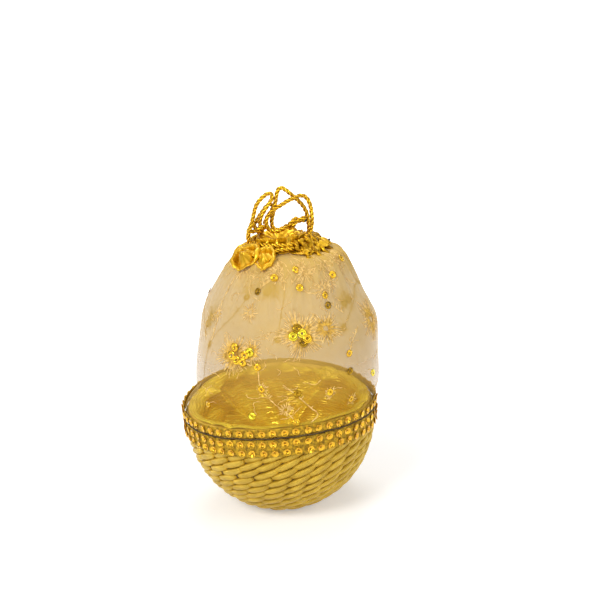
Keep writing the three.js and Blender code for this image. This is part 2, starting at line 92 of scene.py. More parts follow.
camera_data = bpy.data.cameras.new("Camera")
camera_data.sensor_width = SENSOR_WIDTH
camera_data.lens = FOCAL_PIXELS * SENSOR_WIDTH / IMAGE_SIDE
camera = bpy.data.objects.new("Camera", camera_data)
bpy.context.scene.collection.objects.link(camera)
bpy.context.scene.camera = camera
camera.matrix_world = camera_place()
print("camera at", [round(c, 3) for c in camera.matrix_world.translation])

# %% [markdown]
# ## Small helpers
# Nearly every piece here is soft, and a soft piece is easiest as a grid that is wrapped round
# something. The helper makes the grid with its UV map, hands each point to a rule that says
# where it lies in space, and closes the seam. The UV map keeps following the cloth, so that a
# weave or a crinkle runs along it. Each new piece is hung on the frame's root body at once and
# given its materials, and the CAD solid that it stands for is hidden.


# %% Helpers for objects and wrapped grids
def make_object(name, bm, materials, node=None, smooth=True, wall=0.0):
    """A piece on the root body, its solid and a wall thickness in millimetres."""
    mesh = bpy.data.meshes.new(name)
    bm.to_mesh(mesh)
    bm.free()
    for polygon in mesh.polygons:
        polygon.use_smooth = smooth
    for material in materials:
        mesh.materials.append(material)
    made = bpy.data.objects.new(name, mesh)
    bpy.context.scene.collection.objects.link(made)
    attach(made, "root")
    if node:
        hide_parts(node)
    if wall:
        thick = made.modifiers.new("Thickness", "SOLIDIFY")
        thick.thickness = wall * MM
        thick.offset = 0
    heights = [vert.co.z / MM for vert in mesh.vertices]
    print(f"{name}: {len(mesh.polygons)} faces, {min(heights):.1f} to {max(heights):.1f} mm high")
    return made


def wrapped_grid(around, along, place):
    """A grid whose u runs round and v runs along, each point put where place(u, v) says."""
    bm = bmesh.new()
    bm.loops.layers.uv.new("UVMap")
    bmesh.ops.create_grid(bm, x_segments=around, y_segments=along, size=0.5, calc_uvs=True)
    for vert in bm.verts:
        vert.co = place(vert.co.x + 0.5, vert.co.y + 0.5)
    bmesh.ops.remove_doubles(bm, verts=bm.verts, dist=1e-6)
    return bm


def faces_outward(bm):
    bmesh.ops.recalc_face_normals(bm, faces=bm.faces)
    return bm


def wrapped_piece(name, around, along, place, material, node=None, wall=0.0):
    bm = faces_outward(wrapped_grid(around, along, place))
    return make_object(name, bm, [material], node, wall=wall)


def soft_step(low, high, value):
    share = min(1.0, max(0.0, (value - low) / (high - low)))
    return share * share * (3 - 2 * share)


def flatter(value, power):
    """A sine or cosine made blunter by a power below 1, with its sign kept."""
    return math.copysign(abs(value) ** power, value)


def polar(radius, angle, height, lean=0.0):
    return Vector((lean + radius * math.cos(angle), radius * math.sin(angle), height)) * MM


# %% [markdown]
# ## Cords
# The drawstrings are three-ply twisted cords about 3 mm thick. Each goes round the neck and
# comes out on one side, and its two ends stand up and run over to a knot. They are fixed
# lengths, so they are settled first. A section of three touching round plies, turned as it moves
# along the route, gives the twist with far fewer faces than three separate helices.

# %% Routes of the cords
PLIES = 3
PLY_RADIUS = 0.95
PLY_OFFSET = 0.86
TWIST_PITCH = 11.4
CORD_SIDES = 21
NECK_LEAN = 9.4

LEFT_FRONT = [
    (-14.9, -4, 217.6), (-15.6, -4.4, 220.5), (-14.9, -4.5, 225.5), (-13.5, -4.3, 229.5),
    (-11.9, -4, 233.5), (-10.1, -3.5, 239.6), (-8.1, -3, 245.7), (-5.1, -2.5, 250.2),
    (-1.0, -2, 253.7), (2.4, -1.5, 255.3), (4.7, -1, 254.2), (4.9, -1, 251.5),
    (3.3, -1.5, 248.5), (0.7, -2, 245.3), (-1.8, -2.5, 242.0), (-4.2, -2.5, 238.2),
    (-5.6, -2, 233.4), (-5.7, -1.2, 229.3)]
LEFT_BACK = [
    (-14.9, 4, 217.6), (-15.6, 4.4, 220.5), (-15, 4.8, 225), (-12.8, 4.8, 229),
    (-8.6, 4.5, 232.4), (-6.0, 4.5, 236.2), (-3.1, 4.5, 240.0), (-0.1, 4.5, 243.6),
    (3.0, 4.6, 245.4), (4.9, 4.8, 243.9), (4.2, 5.2, 240.4), (1.4, 5.2, 236.6),
    (-0.8, 4.8, 233), (-2.2, 3.2, 230)]
RIGHT_FRONT = [
    (31.7, -3.8, 220.6), (33.4, -4.1, 225), (34.6, -4, 231.1), (34.6, -4, 239.8),
    (33.5, -4, 246.3), (31.1, -4, 250.8), (27.4, -4, 252.6), (22.7, -4, 251.4),
    (17.2, -3.8, 249.2), (11.6, -3.8, 246.1), (6.8, -3.8, 243.6), (2.7, -3.7, 240.3),
    (-0.1, -3.4, 236.4), (-0.7, -2.8, 232.4), (0.3, -2.3, 228.2), (3.3, -2, 225.5),
    (7.1, -1.9, 225.0), (11.9, -1.8, 226.5), (15.6, -1.7, 228.4)]
RIGHT_BACK = [
    (31.7, 3.8, 220.6), (32.2, 4.1, 225), (31.9, 3.9, 229.8), (31.3, 3, 235.9),
    (29.3, 2, 241.5), (26.4, 1, 246.0), (22.8, 0.5, 250.1), (19.1, 0, 253.8),
    (15.4, 0, 257.2), (12.5, 0, 258.7), (10.1, 0, 257.3), (8.6, 0.2, 253.4),
    (7.6, 0.4, 248.7), (6.3, 0.6, 243.1), (5.0, 1, 238.4), (3.7, 1.4, 233.6),
    (3.7, 1.8, 228.9), (5.3, 1.9, 226.1), (8.6, 1.9, 225.2), (12.5, 1.9, 226.6),
    (15.7, 1.9, 228.4)]


def smooth_route(points, step=0.5):
    """Points every step millimetres along a smooth curve through the given points, in metres."""
    spots = [Vector(p) for p in points]
    ends = [spots[0] * 2 - spots[1]] + spots + [spots[-1] * 2 - spots[-2]]
    dense = []
    for a, b, c, d in zip(ends, ends[1:], ends[2:], ends[3:]):
        for k in range(24):
            t = k / 24
            dense.append(0.5 * ((2 * b) + (c - a) * t + (2 * a - 5 * b + 4 * c - d) * t ** 2
                                + (3 * b - a - 3 * c + d) * t ** 3))
    dense.append(spots[-1])
    lengths = [0.0]
    for a, b in zip(dense, dense[1:]):
        lengths.append(lengths[-1] + (b - a).length)
    count = max(2, round(lengths[-1] / step))
    route = []
    k = 0
    for i in range(count + 1):
        want = lengths[-1] * i / count
        while k < len(dense) - 2 and lengths[k + 1] < want:
            k += 1
        share = (want - lengths[k]) / max(1e-9, lengths[k + 1] - lengths[k])
        route.append(dense[k].lerp(dense[k + 1], share) * MM)
    return route, lengths[-1] * MM


def frames_along(route):
    """A side and a normal at each point of a route, carried along without twisting."""
    tangents = []
    for i in range(len(route)):
        tangents.append((route[min(i + 1, len(route) - 1)] - route[max(i - 1, 0)]).normalized())
    side = tangents[0].orthogonal().normalized()
    result = []
    for i, tangent in enumerate(tangents):
        if i:
            side = tangents[i - 1].rotation_difference(tangent) @ side
        side = (side - tangent * side.dot(tangent)).normalized()
        result.append((side, tangent.cross(side)))
    return result


def twisted_cord(name, points, node=None):
    """A cord through the points, with its route and its length in metres."""
    route, length = smooth_route(points)
    frames = frames_along(route)
    turns = length / MM / TWIST_PITCH
    bm = bmesh.new()
    uv = bm.loops.layers.uv.new("UVMap")
    bmesh.ops.create_grid(bm, x_segments=CORD_SIDES, y_segments=len(route) - 1, size=0.5,
                          calc_uvs=True)
    for vert in bm.verts:
        share = vert.co.y + 0.5
        i = min(len(route) - 1, max(0, round(share * (len(route) - 1))))
        angle = FULL_TURN * (vert.co.x + 0.5)
        from_ply = (angle * PLIES + math.pi) % FULL_TURN / PLIES - math.pi / PLIES
        radius = PLY_OFFSET * math.cos(from_ply)
        radius += math.sqrt(PLY_RADIUS ** 2 - (PLY_OFFSET * math.sin(from_ply)) ** 2)
        side, normal = frames[i]
        turned = angle + FULL_TURN * turns * share
        offset = side * math.cos(turned) + normal * math.sin(turned)
        vert.co = route[i] + offset * radius * MM
    for face in bm.faces:
        for loop in face.loops:
            loop[uv].uv.y *= turns
    bmesh.ops.remove_doubles(bm, verts=bm.verts, dist=1e-6)
    bmesh.ops.holes_fill(bm, edges=[e for e in bm.edges if e.is_boundary], sides=0)
    made = make_object(name, faces_outward(bm), [cord_gold], node)
    print(f"{name}: {length / MM:.1f} mm long, {turns:.0f} turns of twist")
    return made, route, length


# %% [markdown]
# ## Finishes
# The bag is all one warm gold family, and what tells the cloths apart is how they shine: dull
# net, crinkled tissue, glossy satin, metallised sequins. Two shader groups are shared. One
# gives the fine ribs of thread or tissue as a height, the other gives soft blotches where
# handled cloth is lighter or darker. Each material mixes them with its own values. Silk, tissue
# and sequins are partly metallic, because a metal keeps its hue where it mirrors white.

# %% Helpers for shader nodes
def fill(tree, made, sockets):
    """Give each socket its value, or a link where the value is another node's output."""
    for socket, value in sockets.items():
        if isinstance(value, bpy.types.NodeSocket):
            tree.links.new(value, made.inputs[socket])
        else:
            made.inputs[socket].default_value = value


def add_node(tree, kind, sockets=None, operation=None):
    made = tree.nodes.new("ShaderNode" + kind)
    if operation:
        made.operation = operation
    fill(tree, made, sockets or {})
    return made


def maths(tree, operation, *values):
    return add_node(tree, "Math", dict(enumerate(values)), operation).outputs[0]


def mapped(tree, value, *limits):
    """A value taken from one range to another: from low, from high, to low, to high."""
    names = ("From Min", "From Max", "To Min", "To Max")
    return add_node(tree, "MapRange", {"Value": value, **dict(zip(names, limits))}).outputs[0]


def mixed(tree, factor, first, second):
    mix = tree.nodes.new("ShaderNodeMix")
    mix.data_type = "RGBA"
    fill(tree, mix, {"Factor": factor, 6: first, 7: second})
    return mix.outputs[2]


def noise_texture(tree, place, scale, detail, roughness=0.5):
    return add_node(tree, "TexNoise", {"Vector": place, "Scale": scale, "Detail": detail,
                                       "Roughness": roughness}).outputs["Fac"]


# %% Shader groups
def new_group(name, inputs, outputs):
    group = bpy.data.node_groups.new(name, "ShaderNodeTree")
    for label, kind, value in inputs:
        socket = group.interface.new_socket(name=label, in_out="INPUT", socket_type=kind)
        if value is not None:
            socket.default_value = value
    for label, kind in outputs:
        group.interface.new_socket(name=label, in_out="OUTPUT", socket_type=kind)
    given, out = group.nodes.new("NodeGroupInput"), group.nodes.new("NodeGroupOutput")
    return group, given.outputs, out


def ribs_group():
    group, given, out = new_group(
        "FineRibs",
        [("Vector", "NodeSocketVector", None), ("Ribs", "NodeSocketFloat", 100.0),
         ("Wobble", "NodeSocketFloat", 2.0)],
        [("Height", "NodeSocketFloat")])
    wave = add_node(group, "TexWave", {
        "Vector": given["Vector"], "Scale": given["Ribs"], "Distortion": given["Wobble"],
        "Detail": 3, "Detail Scale": 1.6})
    wave.bands_direction = "Y"
    fill(group, out, {"Height": wave.outputs["Fac"]})
    return group


def blotch_group():
    group, given, out = new_group(
        "SoftBlotches",
        [("Vector", "NodeSocketVector", None), ("Scale", "NodeSocketFloat", 40.0),
         ("Light", "NodeSocketColor", (1, 1, 1, 1)), ("Dark", "NodeSocketColor", (0, 0, 0, 1))],
        [("Color", "NodeSocketColor")])
    cloudy = noise_texture(group, given["Vector"], given["Scale"], 5, 0.6)
    mask = mapped(group, cloudy, 0.34, 0.66)
    fill(group, out, {"Color": mixed(group, mask, given["Dark"], given["Light"])})
    return group


FINE_RIBS = ribs_group()
SOFT_BLOTCHES = blotch_group()
print("shader groups:", [g.name for g in bpy.data.node_groups])


# %% A cloth finish
GRAIN_SCALE = 900


def add_group(tree, group, sockets):
    made = tree.nodes.new("ShaderNodeGroup")
    made.node_tree = group
    fill(tree, made, sockets)
    return made.outputs


def cloth_finish(name, light, dark, roughness=0.6, metallic=0.0, blotches=40.0, ribs=None,
                 bump=0.3, bump_depth=0.3, sheen=0.0, coat=0.0, coordinates="Object"):
    """Soft blotches of two colours, with fine ribs or else a grain as a bump."""
    material = bpy.data.materials.new(name)
    material.use_nodes = True
    tree = material.node_tree
    place = add_node(tree, "TexCoord").outputs
    blotch = add_group(tree, SOFT_BLOTCHES, {
        "Vector": place["Object"], "Scale": blotches, "Light": (*light, 1), "Dark": (*dark, 1)})
    if ribs:
        height = add_group(tree, FINE_RIBS, {
            "Vector": place[coordinates], "Ribs": ribs[0], "Wobble": ribs[1]})["Height"]
    else:
        height = noise_texture(tree, place[coordinates], GRAIN_SCALE, 3)
    raised = add_node(tree, "Bump", {
        "Strength": bump, "Distance": bump_depth * MM, "Height": height})
    fill(tree, tree.nodes["Principled BSDF"], {
        "Base Color": blotch["Color"], "Normal": raised.outputs["Normal"],
        "Roughness": roughness, "Metallic": metallic, "Sheen Weight": sheen,
        "Coat Weight": coat, "Coat Roughness": 0.25})
    return material


def painted_groove_shade(material, grooves, shade):
    """Painted shade: darken the lines between plies, which run along the V direction of the UV map.
    """
    tree = material.node_tree
    shader = tree.nodes["Principled BSDF"]
    colour = shader.inputs["Base Color"].links[0].from_socket
    place = add_node(tree, "TexCoord").outputs["UV"]
    across = add_node(tree, "SeparateXYZ", {"Vector": place}).outputs["X"]
    wave = maths(tree, "COSINE", maths(tree, "MULTIPLY", across, FULL_TURN * grooves))
    depth = mapped(tree, wave, -1.0, 0.1, 1.0, 0.0)
    fill(tree, shader, {"Base Color": mixed(tree, depth, colour, (*shade, 1))})


cord_gold = cloth_finish(
    "Cord_Gold", (0.94, 0.58, 0.02), (0.58, 0.30, 0.006), roughness=0.26, metallic=0.8,
    blotches=160, ribs=(2.4, 1.2), bump=0.4, bump_depth=0.3, coordinates="UV")
painted_groove_shade(cord_gold, PLIES, (0.26, 0.12, 0.003))
cord_tip = cloth_finish(
    "Cord_Tip_Scorched", (0.05, 0.03, 0.01), (0.015, 0.01, 0.005), roughness=0.5)

# %% The free ends of the drawstrings
strands = {}
for name, points in (("Strand_Left_Front", LEFT_FRONT), ("Strand_Left_Back", LEFT_BACK),
                     ("Strand_Right_Front", RIGHT_FRONT), ("Strand_Right_Back", RIGHT_BACK)):
    strands[name] = twisted_cord(name, points, name.lower())

# %% [markdown]
# The two ends of each string meet in an overhand knot with a short tail. The tip of the right
# tail was melted to stop it fraying. The knot is the same twisted section along a small trefoil
# route, whose loops are opened a little so that its turns lie beside each other.

# %% Knots
KNOT_RIGHT = [(16.9, -1.4, 229.0), (18.6, -2.5, 230.9), (20.9, -1.7, 232.6), (21.5, 0.7, 232.0),
              (20.2, 2.3, 230.3), (18.6, 2.0, 228.6), (18.2, -0.2, 228.0), (19.8, -2.2, 229.4),
              (21.9, -1.2, 231.7), (23.6, -0.6, 232.6), (26.2, -1.3, 233.4), (30.0, -2.0, 235.0)]
KNOT_RIGHT_TAIL = [(19.3, 0.3, 231.8), (21.4, 1.4, 230.6), (23.6, 1.4, 231.1),
                   (26.0, 1.7, 231.4), (29.2, 2.1, 231.2)]
KNOT_LEFT = [(-3.2, 0.2, 227.6), (-4.6, -0.9, 228.4), (-6.6, -0.9, 227.2), (-7.2, 1.0, 225.6),
             (-6.0, 2.6, 225.0), (-4.5, 2.4, 226.3), (-4.7, 0.9, 227.6), (-6.6, 0.2, 226.9),
             (-9.2, 0.4, 226.0), (-12.2, 0.0, 225.7), (-15.3, -0.2, 225.4)]
KNOT_LEFT_TAIL = [(-5.0, 1.9, 225.2), (-7.4, 1.6, 225.6), (-9.3, 1.6, 227.8),
                  (-10.2, 1.5, 230.0), (-10.5, 1.4, 231.8)]
KNOT_FULLNESS = 1.6
KNOT_LOOP = 9
TIP_RADIUS = 1.42


def dark_tip(name, route):
    """A short melted tip: a rounded cap at the end of a tail."""
    bm = bmesh.new()
    along = (route[-1] - route[-4]).normalized()
    turned = along.to_track_quat("Z", "Y").to_matrix().to_4x4()
    bmesh.ops.create_uvsphere(bm, u_segments=12, v_segments=8, radius=TIP_RADIUS * MM)
    bmesh.ops.scale(bm, verts=bm.verts, vec=(1, 1, 1.15))
    bmesh.ops.transform(bm, verts=bm.verts, matrix=Matrix.Translation(route[-1]) @ turned)
    return make_object(name, bm, [cord_tip])


def knot(side, points, tail, burnt):
    loop = [Vector(p) for p in points[:KNOT_LOOP]]
    middle = sum(loop, Vector()) / KNOT_LOOP
    opened = [tuple(middle + (p - middle) * KNOT_FULLNESS) for p in loop]
    lump, _, _ = twisted_cord(f"Knot_{side}", opened + points[KNOT_LOOP:], "knot_" + side.lower())
    end, end_route, _ = twisted_cord(f"Knot_{side}_Tail", tail)
    return [lump, end] + ([dark_tip(f"Knot_{side}_Tip", end_route)] if burnt else [])


knots = {"Right": knot("Right", KNOT_RIGHT, KNOT_RIGHT_TAIL, True),
         "Left": knot("Left", KNOT_LEFT, KNOT_LEFT_TAIL, False)}
for name, (strand, route, length) in strands.items():
    side = name.split("_")[1]
    carried = knots[side] if name.endswith("Front") else []
    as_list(carried)

# %% Rings of the drawstrings round the neck
NECK_BOTTOM = 212.4
NECK_LENGTH = 7.0
SATIN_NECK = 22.95
NECK_TAPER = 4.0
RING_CLEARANCE = 2.55
RING_GAP = 9
RING_POINTS = 48


def satin_neck(height):
    return SATIN_NECK - NECK_TAPER * (height - NECK_BOTTOM) / NECK_LENGTH


def neck_ring(name, node, exit_angle, height, ripple):
    radius = satin_neck(height) + RING_CLEARANCE
    points = []
    for i in range(RING_POINTS + 1):
        angle = math.radians(exit_angle + RING_GAP + (360 - 2 * RING_GAP) * i / RING_POINTS)
        lift = ripple * math.sin(angle * 5 + height)
        points.append(polar(radius + 0.3 * math.sin(angle * 9), angle, height + lift,
                            NECK_LEAN) / MM)
    twisted_cord(name, points, node)


neck_ring("Drawstring_Ring_Left", "cord_ring_left", 180, 215.66, 0.25)
neck_ring("Drawstring_Ring_Right", "cord_ring_right", 0, 218.71, 0.2)

# %% [markdown]
# ## Shape of the bag
# Everything on the organza is placed by an angle round the bag and a height above the bowl's
# rim. One profile gives the bag's radius and sideways lean at each height, as the tube is
# pinched above the rim, bellies out, leans to the right and closes at the neck. The hand-made
# rim is a little higher at the front and back than at its sides.

# %% Profile of the bag
RIM_HEIGHT = 83.0
RIM_DIP = 2.6
RIM_DIP_TURN = math.radians(-80)
BAG_STATIONS = [
    (76.55, 0, -2.4), (76.2, 0.2, 4), (75.2, 1.2, 7), (72.8, 7, 15), (73.7, 8.4, 26),
    (73, 9.4, 42), (70.3, 11.6, 67), (67.1, 10.7, 79), (61.9, 10.4, 91), (56, 11.8, 103),
    (49.9, 13.3, 114), (44.6, 14.4, 122), (39.8, 12.8, 126.4), (31, 9.6, 128.5),
    (22.6, 9.4, 129.6), (18.2, 9.4, 136.4)]
PROFILE_STEP = 0.5
SHOULDER_TOP = 129
BAG_PROFILE = [tuple(p / MM) for p in smooth_route(BAG_STATIONS, PROFILE_STEP)[0]]


def bag_at(above):
    """Radius and lean of the bag at a height above the rim, in millimetres."""
    low, high = 0, len(BAG_PROFILE) - 1
    while high - low > 1:
        middle = (low + high) // 2
        if BAG_PROFILE[middle][2] <= above:
            low = middle
        else:
            high = middle
    a, b = BAG_PROFILE[low], BAG_PROFILE[high]
    share = min(1.0, max(0.0, (above - a[2]) / max(1e-6, b[2] - a[2])))
    return a[0] + (b[0] - a[0]) * share, a[1] + (b[1] - a[1]) * share


def dip_at_rim(point):
    height = point.z / MM
    low = soft_step(RIM_HEIGHT * 0.45, RIM_HEIGHT, height)
    high = 1 - soft_step(RIM_HEIGHT * 1.1, RIM_HEIGHT * 1.6, height)
    wave = math.cos(2 * (math.atan2(point.y, point.x) - RIM_DIP_TURN))
    point.z += RIM_DIP * wave * low * high * MM
    return point


def gathers(angle, above):
    """How far the drawn-up folds go in, growing towards the neck."""
    broad = 0.5 - 0.5 * math.cos(17 * angle + 1.3 * math.sin(3 * angle + 0.5))
    fine = 0.5 - 0.5 * math.cos(41 * angle + 1.1 * math.sin(5 * angle + 1))
    soft = 0.5 - 0.5 * math.cos(8 * angle + 0.9 * math.sin(2 * angle) + above * 0.02)
    if above > SHOULDER_TOP:
        return 0.5 * broad + 0.3 * fine
    grow = soft_step(74, 122, above)
    slanted = 0.5 - 0.5 * math.cos(11 * angle + 0.05 * above + 1.5 * math.sin(2 * angle + 2))
    low = soft_step(3, 20, above) * soft_step(70, 30, above) * 1.3 * slanted
    belly = soft_step(20, 50, above) * (1 - grow)
    return grow * (2.2 * broad + 0.9 * fine) + belly * 0.7 * soft + low


def on_bag(angle, above, out=0.0):
    radius, lean = bag_at(above)
    return dip_at_rim(polar(radius + out - gathers(angle, above), angle, RIM_HEIGHT + above, lean))


print(f"bag profile: {len(BAG_PROFILE)} points, "
      f"{len(BAG_PROFILE) * PROFILE_STEP:.0f} mm of cloth")

# %% [markdown]
# ## Basket bowl
# The bowl is twined: rows of flat strips covered in gold tissue, two strands twisting round
# each other, so that each row shows as slanted lobes with a dark slit between them. Cutting
# such a pattern into one surface gives soft dents; separate lobes give real overlaps and real
# shadows. Each lobe is a sphere that is stretched, bent onto the ball and sunk at its ends
# under its neighbours. A plain shell lies behind them.

# %% Finishes of the basket
woven_strip = cloth_finish(
    "Woven_Strip", (0.82, 0.55, 0.055), (0.58, 0.36, 0.024), roughness=0.36, metallic=0.4,
    blotches=110, ribs=(2.8, 2.0), bump=0.8, bump_depth=0.5, coordinates="UV")
# Painted shadow: the backing is dark brown, so that the slits between the lobes look shaded.
basket_shadow = cloth_finish(
    "Basket_Backing_Painted_Shadow", (0.17, 0.095, 0.012), (0.10, 0.05, 0.006), roughness=0.7)

# %% Backing shell of the bowl
BOWL_RADIUS = 76.0
BASE_RADIUS = 29.0
BALL_Z = math.sqrt(BOWL_RADIUS ** 2 - BASE_RADIUS ** 2)
INNER_RADIUS = 71.0
FLOOR = 4.0


def ball_profile(radius, top, bottom, count):
    """Corners down a ball from one height to another, in millimetres."""
    first = math.asin((top - BALL_Z) / radius)
    last = math.asin((bottom - BALL_Z) / radius)
    angles = [first + (last - first) * i / count for i in range(count + 1)]
    return [(radius * math.cos(a), BALL_Z + radius * math.sin(a)) for a in angles]


def spun(profile, segments, closed=False):
    """A surface turned from the (radius, height) corners of an open or a closed section."""
    bm = bmesh.new()
    verts = [bm.verts.new((r * MM, 0, z * MM)) for r, z in profile]
    following = verts[1:] + verts[:1] if closed else verts[1:]
    edges = [bm.edges.new(pair) for pair in zip(verts, following)]
    bmesh.ops.spin(bm, geom=verts + edges, cent=(0, 0, 0), axis=(0, 0, 1), angle=FULL_TURN,
                   steps=segments, use_merge=True)
    bmesh.ops.remove_doubles(bm, verts=bm.verts, dist=1e-6)
    return bm


shell_profile = (
    [(0, 0.4), (BASE_RADIUS - 1.5, 0.4)]
    + ball_profile(73.2, 2.6, RIM_HEIGHT - 0.3, 26)
    + ball_profile(INNER_RADIUS, RIM_HEIGHT - 0.3, FLOOR, 20) + [(0, FLOOR)])
bm = spun(shell_profile, 144)
for vert in bm.verts:
    dip_at_rim(vert.co)
make_object("Bowl_Backing", faces_outward(bm), [basket_shadow], "basket_bowl")

# %% Lobes of the twined rows
WEAVE_ROWS = 12
ROW_GROWTH = 1.03
LOBE_PITCH = 15.0
LOBE_SLANT = 1.2
LOBE_THICKNESS = 2.6
LOBE_FULLNESS = 0.42
LOBE_TILT = 0.75
LOBE_LEVEL = 0.92
LOBE_LENGTH_SHARE, LOBE_WIDTH_SHARE = 0.60, 0.56
rng = random.Random(11)
lobe_ball = bmesh.new()
lobe_ball.loops.layers.uv.new("UVMap")
bmesh.ops.create_uvsphere(lobe_ball, u_segments=16, v_segments=14, radius=1)


def add_lobe(bm, centre, crown, axis, length, width, tone):
    """One lobe: a unit sphere laid along its slanted axis and bent onto the ball."""
    lobe = lobe_ball.copy()
    uv = lobe.loops.layers.uv.active
    flat = {}
    cos_axis, sin_axis = math.cos(axis), math.sin(axis)
    for vert in lobe.verts:
        x, y, z = vert.co.z, vert.co.x, vert.co.y
        ends = max(0.0, 1 - x * x) ** 0.5
        full = ends ** (LOBE_FULLNESS - 1) if ends > 1e-3 else 0
        along = x * length
        across = flatter(y * full, 0.85) * width
        out = flatter(z * full, 0.75) * LOBE_THICKNESS
        flat[vert] = (across / 10, along / 10 + tone)
        around = along * cos_axis - across * sin_axis
        up = along * sin_axis + across * cos_axis
        ball_angle = crown + up / BOWL_RADIUS
        sunk = 2.4 * max(0.0, -x) ** 2.2 + 0.9 * max(0.0, x) ** 3 + 0.35 * y * y - LOBE_TILT * y
        radius = BOWL_RADIUS - LOBE_THICKNESS + out - sunk
        turned = centre + around / (BOWL_RADIUS * max(0.3, math.cos(ball_angle)))
        vert.co = dip_at_rim(polar(radius * math.cos(ball_angle), turned,
                                   BALL_Z + radius * math.sin(ball_angle)))
    for face in lobe.faces:
        for loop in face.loops:
            loop[uv].uv = flat[loop.vert]
    kept = bpy.data.meshes.new("Lobe")
    lobe.to_mesh(kept)
    lobe.free()
    bm.from_mesh(kept)
    bpy.data.meshes.remove(kept)


def twined_rows():
    bm = bmesh.new()
    rim_angle = math.asin((RIM_HEIGHT - BALL_Z) / BOWL_RADIUS)
    base_angle = -math.acos(BASE_RADIUS / BOWL_RADIUS)
    first_row = (rim_angle - base_angle) * (ROW_GROWTH - 1) / (ROW_GROWTH ** WEAVE_ROWS - 1)
    ball_angle, start, count = rim_angle, 0.0, 0
    for row in range(WEAVE_ROWS):
        row_angle = first_row * ROW_GROWTH ** row
        crown = ball_angle - row_angle / 2
        lobes = round(FULL_TURN * BOWL_RADIUS * math.cos(crown) / LOBE_PITCH)
        pitch = FULL_TURN * BOWL_RADIUS * math.cos(crown) / lobes
        half_slant = LOBE_SLANT / 2 * FULL_TURN / lobes
        rise = row_angle * BOWL_RADIUS
        run = LOBE_SLANT * pitch
        axis = math.atan2(rise, run) * LOBE_LEVEL
        for i in range(lobes):
            centre = start - half_slant + (i + 0.5) * FULL_TURN / lobes
            size = rng.uniform(0.96, 1.04)
            add_lobe(bm, centre, crown, axis + rng.uniform(-0.04, 0.04),
                     math.hypot(rise, run) * LOBE_LENGTH_SHARE * size,
                     pitch * math.sin(axis) * LOBE_WIDTH_SHARE * size, rng.uniform(0, 9))
            count += 1
        ball_angle -= row_angle
        start -= 2 * half_slant
    print(f"{count} lobes in {WEAVE_ROWS} rows")
    make_object("Bowl_Weave", bm, [woven_strip])


twined_rows()

# %% [markdown]
# ## Padded rim and lining
# A soft ring covered in net rounds off the rim, and a lining of crinkled gold tissue is sewn to
# its inner edge and hangs down the bowl in lazy folds. The tissue's fine level ribs are too
# small to model, so they are a bump that follows the cloth's own UV map, while the folds that
# catch the light are real.

# %% Finishes of the rim and lining
net_pad = cloth_finish(
    "Net_Over_Pad", (0.86, 0.58, 0.06), (0.74, 0.45, 0.035), roughness=0.5, metallic=0.2,
    blotches=120, bump=0.5, bump_depth=0.25)
tissue_gold = cloth_finish(
    "Tissue_Gold", (1.0, 0.76, 0.024), (0.76, 0.50, 0.006), roughness=0.27, metallic=0.45,
    blotches=42, ribs=(19, 9.0), bump=0.4, bump_depth=1.0, coordinates="UV")

# %% Padded rim
PAD_OUTER, PAD_INNER = 73.92, 66.72
PAD_BOTTOM, PAD_TOP = 83.35, 87.35


def pad_point(u, v):
    angle, turned = FULL_TURN * u, FULL_TURN * v
    half_width, half_height = (PAD_OUTER - PAD_INNER) / 2, (PAD_TOP - PAD_BOTTOM) / 2
    ripple = 1 - 0.05 * (0.5 + 0.5 * math.sin(47 * angle + 3 * math.sin(5 * angle)))
    radius = (PAD_INNER + PAD_OUTER) / 2 + half_width * flatter(math.cos(turned), 0.7) * ripple
    height = (PAD_BOTTOM + PAD_TOP) / 2 + half_height * flatter(math.sin(turned), 0.7) * ripple
    return dip_at_rim(polar(radius, angle, height))


rim_roll = wrapped_piece("Rim_Roll", 288, 20, pad_point, net_pad, "rim_pad")

# %% Lining
LINING_EDGE = 86.5
lining_profile = [(73.2, 0, PAD_TOP + 0.1), (70.3, 0, PAD_TOP + 0.7), (67.2, 0, PAD_TOP - 0.1),
                  (PAD_INNER - 0.4, 0, PAD_TOP - 2), (PAD_INNER - 0.5, 0, 82)]
lining_profile += [(r - 0.7, 0, z) for r, z in ball_profile(INNER_RADIUS, 74, 8, 8)]
lining_profile += [(31, 0, 5.4), (20, 0, 5.2), (9, 0, 5.2), (0.4, 0, 5.2)]
LINING_ROUTE, LINING_LENGTH = smooth_route(lining_profile, 1.0)
FOLD_RIDGES = [(132, 0.016, 0.12, 9.0), (62, -0.012, 0.09, 6.0), (205, 0.012, 0.12, 7.0),
               (98, 0.005, 0.07, 4.5), (20, -0.012, 0.10, 5.0)]


def fold_ridge(angle, height, at, tilt, width, depth):
    """A soft slanting ridge of the lining: its angle in degrees, tilt, width and depth."""
    away = (angle - math.radians(at) + math.pi) % FULL_TURN - math.pi - tilt * (height - 60)
    return depth * math.exp(-(away / width) ** 2)


